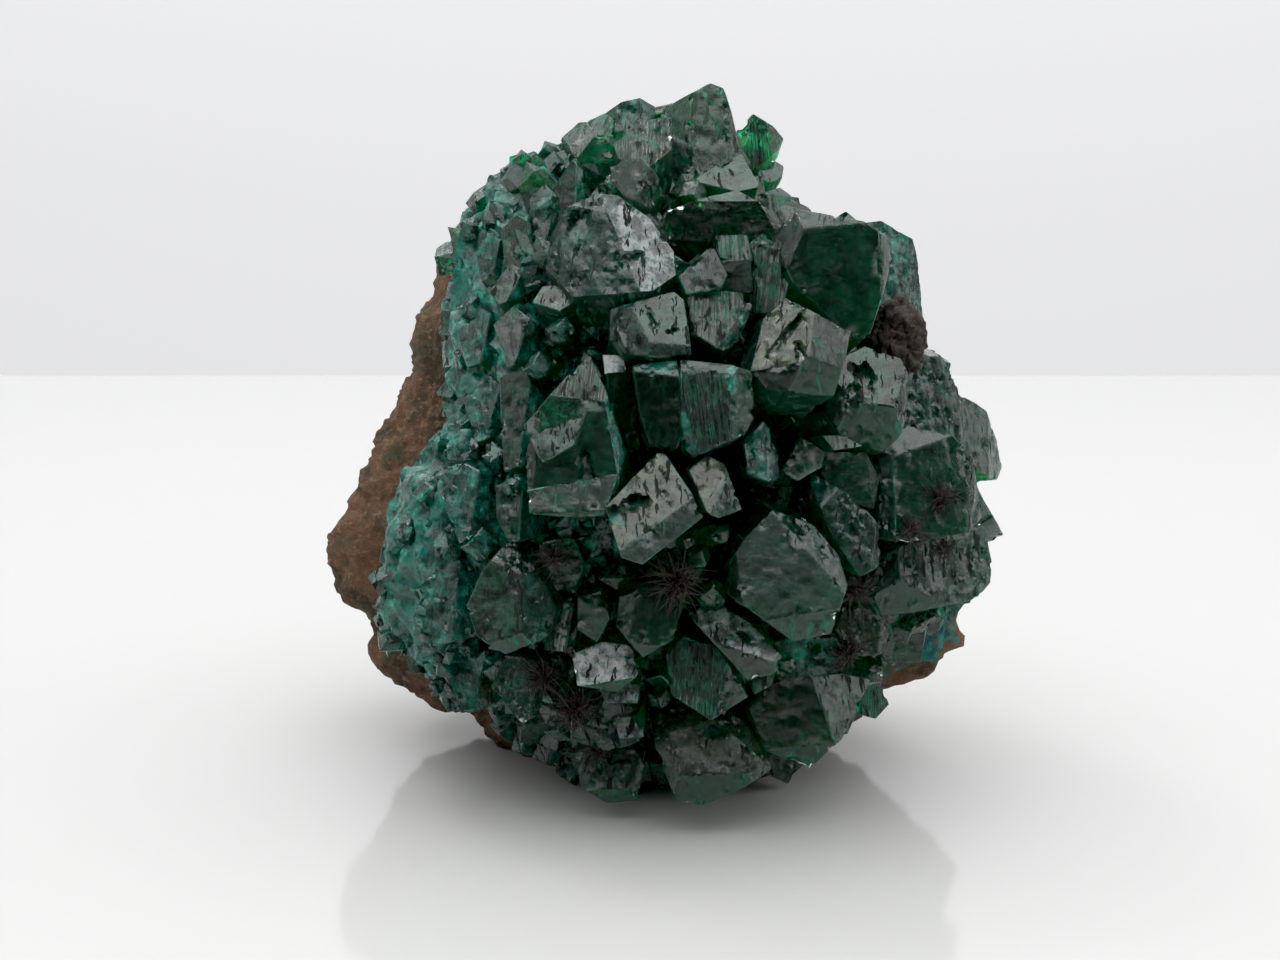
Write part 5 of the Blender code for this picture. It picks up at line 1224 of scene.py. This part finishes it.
def limonite_material(settings):
    """Brown limonite: ochre, red-brown and dark grains, with teal crust where it meets the crystals."""
    material, n = new_material("limonite matrix")
    body = n.body()
    patches = n.noise(body, 0.16, 5.0, 0.6)
    grit = n.noise(body, 1.6, 6.0, 0.7)
    fine = n.noise(body, 5.5, 4.0, 0.65)
    colour = n.mix(n.ramp(patches, 0.40, 0.56), tuple(settings.dark_earth), tuple(settings.red_earth))
    colour = n.mix(n.ramp(grit, 0.50, 0.68), colour, tuple(settings.ochre))
    colour = n.mix(n.ramp(n.noise(body, 0.33, 5.0, 0.65), 0.55, 0.62), colour, tuple(settings.olive_earth))
    colour = n.mix(n.ramp(fine, 0.60, 0.7), colour, (0.018, 0.012, 0.009))
    ragged = n.sum("SUBTRACT", n.noise(body, 0.55, 5.0, 0.65), 0.5)
    edge = n.sum("ADD", n.read("crust"), n.sum("MULTIPLY", ragged, 1.1))
    teal = n.mix(n.ramp(n.noise(body, 0.9, 4.0), 0.4, 0.65), (0.012, 0.11, 0.12), (0.03, 0.30, 0.25))
    colour = n.mix(n.ramp(edge, 0.45, 0.62), colour, teal)
    height = n.sum("MULTIPLY_ADD", fine, 0.35, grit)
    height = n.sum("MULTIPLY_ADD", n.noise(body, 0.7, 5.0, 0.7), 1.6, height)
    n.finish(Base_Color=colour, Roughness=n.ramp(grit, 0.3, 0.7, 0.95, 0.62),
             Normal=n.bump(height, 0.9, 0.0005))
    return material


def plain_dark_material(name, dark, light, roughness, scale):
    """A dark material with a grain between two colours."""
    material, n = new_material(name)
    share = n.noise(n.body(), scale, 4.0, 0.65)
    n.finish(Base_Color=n.mix(n.ramp(share, 0.35, 0.68), dark, light), Roughness=roughness,
             Normal=n.bump(share, 0.7, 0.0002))
    return material


def crystal_form(name, radius, length, flat, seed):
    """A small crystal of dioptase's own form for the druse, standing on the origin along Z."""
    points = prism_points(Vector((0, 0, length)), Vector((0, 0, 1)), radius, length * 1.5, 12 * seed)
    bm = hull_of([(p.x * MM, p.y * MM * flat, p.z * MM) for p in points])
    bmesh.ops.recalc_face_normals(bm, faces=bm.faces)
    bmesh.ops.triangulate(bm, faces=bm.faces)
    mesh = bpy.data.meshes.new(name)
    bm.to_mesh(mesh)
    bm.free()
    return mesh


def hair_form(name, seed):
    """A curved fibre, a three-sided tube that thins to a point, 1 mm long along Z."""
    rng = random.Random(seed)
    bend, twist = rng.uniform(0.1, 1.1), rng.uniform(-0.9, 0.9)
    rings, sides = FIBRE_RINGS, FIBRE_SIDES
    places, faces = [], []
    for ring in range(rings):
        along = ring / (rings - 1)
        middle = Vector((bend * along ** 2, twist * along ** 3, along * (1 - 0.25 * bend)))
        wide = FIBRE_THICK * (1 - 0.8 * along)
        for side in range(sides):
            angle = math.tau * side / sides
            places.append((middle + Vector((math.cos(angle), math.sin(angle), 0)) * wide) * MM)
    for ring in range(rings - 1):
        for side in range(sides):
            a, b = ring * sides + side, ring * sides + (side + 1) % sides
            faces.append((a, b, b + sides, a + sides))
    faces += [tuple(reversed(range(sides))), tuple(range((rings - 1) * sides, rings * sides))]
    mesh = bpy.data.meshes.new(name)
    mesh.from_pydata(places, [], faces)
    return mesh


def strewing_tree():
    """Forms strewn over a surface, denser where it says so: the druse's small crystals, and the fibres."""
    n, given = new_tree("strewn", [
        ("Geometry", "NodeSocketGeometry", None), ("Crystals", "NodeSocketCollection", None),
        ("Per Square Metre", "NodeSocketFloat", 4.0e5), ("Smallest", "NodeSocketFloat", 0.5),
        ("Largest", "NodeSocketFloat", 1.6), ("Lean", "NodeSocketFloat", 0.7), ("Seed", "NodeSocketInt", 1),
        ("Film", "NodeSocketFloat", 0.3), ("Tone", "NodeSocketFloat", -0.7),
        ("Gloss", "NodeSocketFloat", 0.26), ("Lines", "NodeSocketFloat", 0.7),
        ("Material", "NodeSocketMaterial", None)])

    def random_value(kind, low, high, offset):
        node = n.add("FunctionNodeRandomValue", {"data_type": kind}, Seed=n.sum("ADD", given["Seed"], offset))
        for number, value in zip([i for i, s in enumerate(node.inputs) if s.enabled], (low, high)):
            n.put(node, f"i{number}", value)
        return next(s for s in node.outputs if s.enabled)

    here = n.add("GeometryNodeInputNamedAttribute", {"data_type": "FLOAT"}, Name="druse")
    amount = n.sum("MULTIPLY", here.outputs["Attribute"], given["Per Square Metre"])
    strewn = n.add("GeometryNodeDistributePointsOnFaces", {"distribute_method": "RANDOM"},
                   Mesh=given["Geometry"], Density=amount, Seed=given["Seed"]).outputs
    forms = n.add("GeometryNodeCollectionInfo", Separate_Children=True, Reset_Children=True,
                  Collection=given["Crystals"])
    lean = n.scaled(random_value("FLOAT_VECTOR", (-1, -1, -1), (1, 1, 1), 11), given["Lean"])
    way = n.vector_sum("ADD", strewn["Normal"], lean)[0]
    upright = n.add("FunctionNodeAlignRotationToVector", {"axis": "Z"}, Vector=way)
    turn = n.add("ShaderNodeCombineXYZ", Z=random_value("FLOAT", 0.0, math.tau, 23))
    turned = n.add("FunctionNodeEulerToRotation", i0=turn.outputs[0])
    spin = n.add("FunctionNodeRotateRotation", {"rotation_space": "LOCAL"}, i0=upright.outputs[0],
                 i1=turned.outputs[0])
    size = random_value("FLOAT", given["Smallest"], given["Largest"], 37)
    last = n.add("GeometryNodeInstanceOnPoints", Points=strewn["Points"], Instance=forms.outputs[0],
                 Pick_Instance=True, Rotation=spin.outputs[0], Scale=size).outputs[0]
    for name, source, spread, offset in (("film", "Film", 0.20, 157), ("tone", "Tone", 0.40, 171),
                                         ("gloss", "Gloss", 0.06, 159), ("lines", "Lines", 0.3, 164)):
        shaken = n.sum("ADD", given[source], random_value("FLOAT", -spread, spread, offset))
        last = n.add("GeometryNodeStoreNamedAttribute", {"data_type": "FLOAT", "domain": "INSTANCE"},
                     Name=name, Geometry=last, Value=shaken).outputs[0]
    real = n.add("GeometryNodeRealizeInstances", i0=last).outputs[0]
    in_mm = n.scaled(n.add("GeometryNodeInputPosition").outputs[0], 1 / MM)
    grain = n.add("GeometryNodeStoreNamedAttribute", {"data_type": "FLOAT_VECTOR", "domain": "POINT"},
                  Name="grain", Geometry=real, Value=in_mm)
    return end_tree(n, grain.outputs[0], given["Material"])


def strewn_piece(name, ground, forms, tree, values):
    """Strew a collection of forms over a ground mesh and keep the result as one plain mesh."""
    host = add_object(name + "_host", ground)
    modifier = host.modifiers.new("strewn", "NODES")
    modifier.node_group = tree
    give_inputs(modifier, {"Crystals": forms, **values})
    return as_plain_mesh(host, name)


def hidden_collection(name, meshes):
    """A collection of objects outside the scene, one for each mesh."""
    made = bpy.data.collections.new(name)
    for mesh in meshes:
        made.objects.link(bpy.data.objects.new(mesh.name, mesh))
    return made


def drop_collection(collection):
    for member in list(collection.objects):
        bpy.data.objects.remove(member)
    bpy.data.collections.remove(collection)


def declare(piece, slot, *nodes):
    """A finished piece rides the root body and stands for its solids, which it hides; its slot is not used."""
    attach(piece, "root")
    if nodes:
        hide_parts(*nodes)


def colour(name, description, default):
    """A colour among the settings."""
    return FloatVectorProperty(name=name, description=description, size=3, default=default, min=0.0, max=1.0,
                               subtype="COLOR")


class CrystalSettings(PropertyGroup):
    depth_colour: colour("Depth colour", "Colour that light keeps on its way through the crystals",
                         (0.0, 0.80, 0.56))
    depth_density: FloatProperty(
        name="Depth density", description="How fast the crystals take up light, per metre", default=950.0,
        min=0.0)
    skin_colour: colour("Skin colour", "Tint that light takes where it enters a crystal", (0.10, 1.0, 0.58))
    ior: FloatProperty(
        name="Refraction", description="Refractive index of dioptase", default=1.66, min=1.3, max=2.0)
    spacing: FloatProperty(
        name="Spacing", description="Spacing of the points on the crystals in front, in millimetres",
        default=FINE, min=0.1, max=1.0)
    druse_share: FloatProperty(
        name="Druse", description="Share of the small crystals that are grown", default=1.0, min=0.0, max=2.0,
        subtype="FACTOR")


class MatrixSettings(PropertyGroup):
    red_earth: colour("Red earth", "Red-brown limonite", (0.195, 0.100, 0.056))
    olive_earth: colour("Olive earth", "Greenish brown limonite", (0.120, 0.110, 0.058))
    ochre: colour("Ochre", "Light ochre grains", (0.30, 0.185, 0.085))
    dark_earth: colour("Dark earth", "Dark brown limonite", (0.064, 0.046, 0.028))


class FibreSettings(PropertyGroup):
    count: FloatProperty(
        name="Fibres", description="Fibres on each square metre of a tuft's root", default=5.5e7, min=0.0)
    seed: IntProperty(name="Seed", description="Seed of the fibres' places", default=5)


class StageSettings(PropertyGroup):
    black: FloatProperty(
        name="Black", description="Light level that the picture shows as black", default=0.004, min=0.0,
        max=0.2)
    brightness: FloatProperty(
        name="Brightness", description="Brightness of all the soft lights", default=0.85, min=0.0,
        subtype="FACTOR")
    floor: colour("Floor", "Pale table", (0.70, 0.70, 0.685))


class SPECIMEN_OT_crystals(Operator):
    """Grow the emerald crystals, in groups that are each one closed surface"""
    bl_idname = "specimen.crystals"
    bl_label = "Crystals"

    def execute(self, context):
        settings = context.scene.specimen_crystals
        material = dioptase_material(settings)
        room = mesh_from("matrix_room", *matrix_places(5, extra=-0.5, fine=False))
        matrix_object = bpy.data.objects.new("matrix_room", room)
        tree = joining_tree()
        spacing = settings.spacing * 1.0
        groups = {name: [] for name in ("upper", "middle", "lower", "left", "right_side", "back")}

        def front_group(up):
            return "upper" if up > UPPER_FROM else "middle" if up > MIDDLE_FROM else "lower"

        for number, row in enumerate(BLOCKS):
            group = "left" if row[0].startswith("left") else front_group(row[2][1])
            groups[group].append(block_shell(row, number + 1, spacing))
        for number, (across, up, stand, radius, lean_right, lean_up, turn) in enumerate(PRISMS):
            tip, axis = on_front(across, up, stand), facing(lean_right, lean_up)
            points = prism_points(tip, axis, radius, stand + PRISM_ROOT, turn)
            letters = "te" if across < TEAL_TO else "ee"
            groups["left" if across < LEFT_TO else front_group(up)].append(
                prism_shell(tip, axis, points, radius, letters, PRISM_SEED + number, spacing))
        for number, (band, tip, axis, points) in enumerate(fill_crystals(random.Random(SEED))):
            radius = 0.5 * (points[2] - points[8]).length
            apart = spacing if band in SHOWN_BANDS else spacing * COARSE / FINE
            groups[BAND_GROUPS[band]].append(
                prism_shell(tip, axis, points, radius, BAND_LOOKS[band], FILL_SEED + number, apart))
        for name, shells in groups.items():
            piece = grown_together("dioptase_" + name, shells, matrix_object, tree, material)
            declare(piece, "dioptase", "dioptase_cluster")
        bpy.data.objects.remove(matrix_object)
        return {"FINISHED"}


class SPECIMEN_OT_druse(Operator):
    """Grow the mass under the crystals and the druse of small ones on it"""
    bl_idname = "specimen.druse"
    bl_label = "Druse"

    def execute(self, context):
        settings = context.scene.specimen_crystals
        material = bpy.data.materials.get(CLEAR) or dioptase_material(settings)
        places, corner_ids = growth_base()
        middle = places[corner_ids].mean(axis=1)
        angles = np.degrees(np.arctan2((middle - np.array(MIDDLE)) @ np.array(UPWARD),
                                       (middle - np.array(MIDDLE)) @ np.array(RIGHT)))
        left = np.abs(angles % 360 - LEFT_ANGLE) < LEFT_SPREAD
        kinds = np.where(left[:, None], FINISHES["t"][:4], FINISHES["e"][:4])
        from_middle = places - np.array(MIDDLE)
        across, along = from_middle @ np.array(RIGHT), from_middle @ np.array(UPWARD)
        reach = (np.interp(along, CRUST_UP, CRUST_ACROSS) + CRUST_WIDTH - across) / CRUST_FADE
        crust = np.clip(reach + 0.4 * soft_noise(places * 0.4, 72), 0, 1)
        crusted = crust[corner_ids].mean(axis=1)[:, None]
        kinds = kinds * (1 - crusted) + np.array(FINISHES["w"][:4]) * crusted
        base = mesh_from("dioptase_base", places, corner_ids, kinds, places[corner_ids].reshape(-1, 3))
        base.materials.append(material)
        smooth_between_edges(base, 50)
        declare(add_object("dioptase_base", base), "dioptase", "dioptase_cluster")

        forms = hidden_collection("druse_forms", [
            crystal_form(name, *form, seed) for seed, (name, form) in enumerate(DRUSE_FORMS.items(), 1)])
        tree = strewing_tree()
        high = left & (along[corner_ids].mean(axis=1) > HIGH_FROM)
        fields = {"dioptase_druse_left": left & ~high, "dioptase_druse_high": high,
                  "dioptase_druse_front": ~left}
        for name, (count, small, large, film, tone, seed) in DRUSES.items():
            ground = mesh_from(name + "_ground", places, corner_ids[fields[name]])
            used = np.unique(corner_ids[fields[name]])
            amount = np.zeros(len(places))
            amount[used] = np.clip(0.75 + soft_noise(places[used] * 0.22, 71), 0.1, 2.0)
            keep_on(ground, "druse", "POINT", amount * (1 - 0.95 * crust))
            piece = strewn_piece(name, ground, forms, tree, {
                "Per Square Metre": count * settings.druse_share, "Smallest": small, "Largest": large,
                "Seed": seed, "Film": film, "Tone": tone, "Material": material})
            declare(piece, "dioptase", "dioptase_cluster")
        drop_collection(forms)
        return {"FINISHED"}


class SPECIMEN_OT_matrix(Operator):
    """Shape the brown limonite matrix"""
    bl_idname = "specimen.matrix"
    bl_label = "Matrix"

    def execute(self, context):
        places, corner_ids = matrix_places(7)
        mesh = mesh_from("limonite_matrix", places, corner_ids)
        toward = -(places - np.array(MIDDLE)) @ np.array(SIGHT)
        keep_on(mesh, "crust", "POINT", np.clip((toward + CRUST_DEPTH) / MATRIX_FADE, 0, 1))
        mesh.materials.append(limonite_material(context.scene.specimen_matrix))
        smooth_between_edges(mesh, SOFT_CREASE)
        declare(add_object("limonite_matrix", mesh), "limonite_matrix", "matrix_rock")
        return {"FINISHED"}


class SPECIMEN_OT_lump(Operator):
    """Shape the iron-brown lump at the upper right"""
    bl_idname = "specimen.lump"
    bl_label = "Iron lump"

    def execute(self, context):
        middle, half = on_front(*LUMP[:3]), LUMP[3]
        ball, corner_ids = ball_mesh(5)
        swell = np.array([1.0 + 0.25 * noise.noise(Vector(b) * 2.1 + middle * 0.3) for b in ball])
        reach = ball * np.array(half) * swell[:, None]
        places = to_world(reach, middle)
        across, up, toward = reach.T
        number, _, _, gap = cells(across * 1.3 + toward * 0.9, up * 1.3 - toward * 0.8, 5)
        height = 0.35 * (number - 0.5) + 0.25 * np.clip(gap * 3, 0, 1)
        height = height + 0.25 * layered_noise(places * 1.6, 7, 3)
        places = places + outward_normals(places, corner_ids) * height[:, None]
        mesh = mesh_from("gossan_lump", places, corner_ids)
        mesh.materials.append(plain_dark_material(
            "iron brown lump", (0.010, 0.008, 0.007), (0.075, 0.05, 0.035), 0.75, 1.7))
        smooth_between_edges(mesh, SOFT_CREASE)
        declare(add_object("gossan_lump", mesh), "iron_lump", "iron_lump")
        return {"FINISHED"}


class SPECIMEN_OT_fibres(Operator):
    """Grow the tufts of dark brown fibres"""
    bl_idname = "specimen.fibres"
    bl_label = "Fibre tufts"

    def execute(self, context):
        settings = context.scene.specimen_fibres
        material = plain_dark_material(
            "dark brown fibre", (0.009, 0.007, 0.007), (0.070, 0.052, 0.044), 0.5, 3.0)
        forms = hidden_collection("fibre_forms", [hair_form(f"fibre_{k}", k) for k in range(FIBRE_FORMS)])
        tree = strewing_tree()
        ball, corner_ids = ball_mesh(2)
        for number, (name, (across, up, stand, half)) in enumerate(TUFTS.items()):
            middle = np.array(on_front(across, up, stand - TUFT_DEPTH * half))
            root = mesh_from(name + "_root", ball * half * TUFT_ROOT + middle, corner_ids)
            keep_on(root, "druse", "POINT", np.ones(len(ball)))
            piece = strewn_piece(name.replace("fibre_tuft", "fibres"), root, forms, tree, {
                "Per Square Metre": settings.count, "Smallest": half * 0.4, "Largest": half * 1.1,
                "Lean": 1.1, "Seed": settings.seed + number, "Material": material})
            declare(piece, "dark_fibre", name)
        drop_collection(forms)
        return {"FINISHED"}


def area_light(name, place, toward, size, power):
    """A rectangular light at a place, aimed at a point."""
    light = bpy.data.lights.new(name, "AREA")
    light.shape = "RECTANGLE"
    light.size, light.size_y = size
    light.energy = power
    made = add_object(name, light)
    made.location = place
    made.rotation_mode = "QUATERNION"
    made.rotation_quaternion = (Vector(toward) - Vector(place)).to_track_quat("-Z", "Y")


def room_world():
    """The room around the stage: lighter overhead, and even where the camera looks at it."""
    world = bpy.data.worlds.new("room")
    world.use_nodes = True
    n = Nodes(world.node_tree)
    way = n.add("ShaderNodeSeparateXYZ", i0=n.add("ShaderNodeTexCoord").outputs["Generated"])
    height = n.add("ShaderNodeMapRange", Value=way.outputs["Z"], From_Min=0.25, From_Max=0.75, To_Min=0.03,
                   To_Max=0.8)
    seen = n.add("ShaderNodeLightPath").outputs["Is Camera Ray"]
    strength = n.add("ShaderNodeMix", i0=seen, i2=height.outputs[0], i3=ROOM_SEEN).outputs[0]
    n.put(world.node_tree.nodes["Background"], "Strength", strength)
    n.put(world.node_tree.nodes["Background"], "Color", (0.97, 0.985, 1.0, 1.0))
    return world


class SPECIMEN_OT_stage(Operator):
    """Set the pale table, the wall behind it, the soft lights and the camera"""
    bl_idname = "specimen.stage"
    bl_label = "Stage"

    def execute(self, context):
        settings = context.scene.specimen_stage
        table, n = new_material("pale table")
        n.finish(Base_Color=(*settings.floor, 1.0), Roughness=0.10, IOR=1.45)
        wall, n = new_material("pale wall")
        n.finish(Base_Color=(0.82, 0.82, 0.83, 1.0), Roughness=0.9, Emission_Color=(0.98, 0.98, 1.0, 1.0),
                 Emission_Strength=0.43)
        for name, corners, material in (("table_top", TABLE, table), ("back_wall", WALL, wall)):
            mesh = bpy.data.meshes.new(name)
            mesh.from_pydata(corners, [], [(0, 1, 2, 3)])
            mesh.materials.append(material)
            add_object(name, mesh)
        for name, place, size, glow in SOFT_LIGHTS:
            power = settings.brightness * glow * math.pi * size[0] * size[1]
            area_light(name, place, LIGHTS_AIM, size, power)
        context.scene.world = room_world()
        view = context.scene.view_settings
        view.view_transform = "Standard"
        view.use_curve_mapping = True
        view.curve_mapping.black_level = (settings.black,) * 3
        view.curve_mapping.update()
        camera = bpy.data.cameras.new("camera")
        camera.lens, camera.sensor_width = LENS, SENSOR
        camera.clip_start, camera.clip_end = 0.01, 20.0
        seen_from = add_object("camera", camera)
        turned = Matrix((RIGHT, UPWARD, -SIGHT)).transposed().to_4x4()
        place = EYE - RIGHT * CAMERA_SHIFT[0] - UPWARD * CAMERA_SHIFT[1]
        seen_from.matrix_world = Matrix.Translation(place * MM) @ turned
        context.scene.camera = seen_from
        return {"FINISHED"}


class SPECIMEN_PT_panel(Panel):
    """The specimen's settings and the pieces they make"""
    bl_idname = "SPECIMEN_PT_panel"
    bl_label = "Dioptase specimen"
    bl_space_type = "VIEW_3D"
    bl_region_type = "UI"
    bl_category = "Specimen"

    def draw(self, context):
        for owner, operators in PANEL_ROWS:
            box = self.layout.box()
            settings = getattr(context.scene, owner)
            for name in settings.bl_rna.properties.keys():
                if name not in ("rna_type", "name"):
                    box.prop(settings, name)
            for operator in operators:
                box.operator(operator)


PANEL_ROWS = [("specimen_crystals", ("specimen.crystals", "specimen.druse")),
              ("specimen_matrix", ("specimen.matrix", "specimen.lump")),
              ("specimen_fibres", ("specimen.fibres",)), ("specimen_stage", ("specimen.stage",))]
SETTINGS = {"specimen_crystals": CrystalSettings, "specimen_matrix": MatrixSettings,
            "specimen_fibres": FibreSettings, "specimen_stage": StageSettings}
CLASSES = [*SETTINGS.values(), SPECIMEN_OT_crystals, SPECIMEN_OT_druse, SPECIMEN_OT_matrix, SPECIMEN_OT_lump,
           SPECIMEN_OT_fibres, SPECIMEN_OT_stage, SPECIMEN_PT_panel]


def register():
    for one in CLASSES:
        bpy.utils.register_class(one)
    for name, group in SETTINGS.items():
        setattr(bpy.types.Scene, name, PointerProperty(type=group))


def unregister():
    for name in SETTINGS:
        delattr(bpy.types.Scene, name)
    for one in reversed(CLASSES):
        bpy.utils.unregister_class(one)


def main():
    register()
    bpy.ops.specimen.stage()
    bpy.ops.specimen.matrix()
    bpy.ops.specimen.crystals()
    bpy.ops.specimen.druse()
    bpy.ops.specimen.lump()
    bpy.ops.specimen.fibres()


if __name__ == "__main__":
    main()
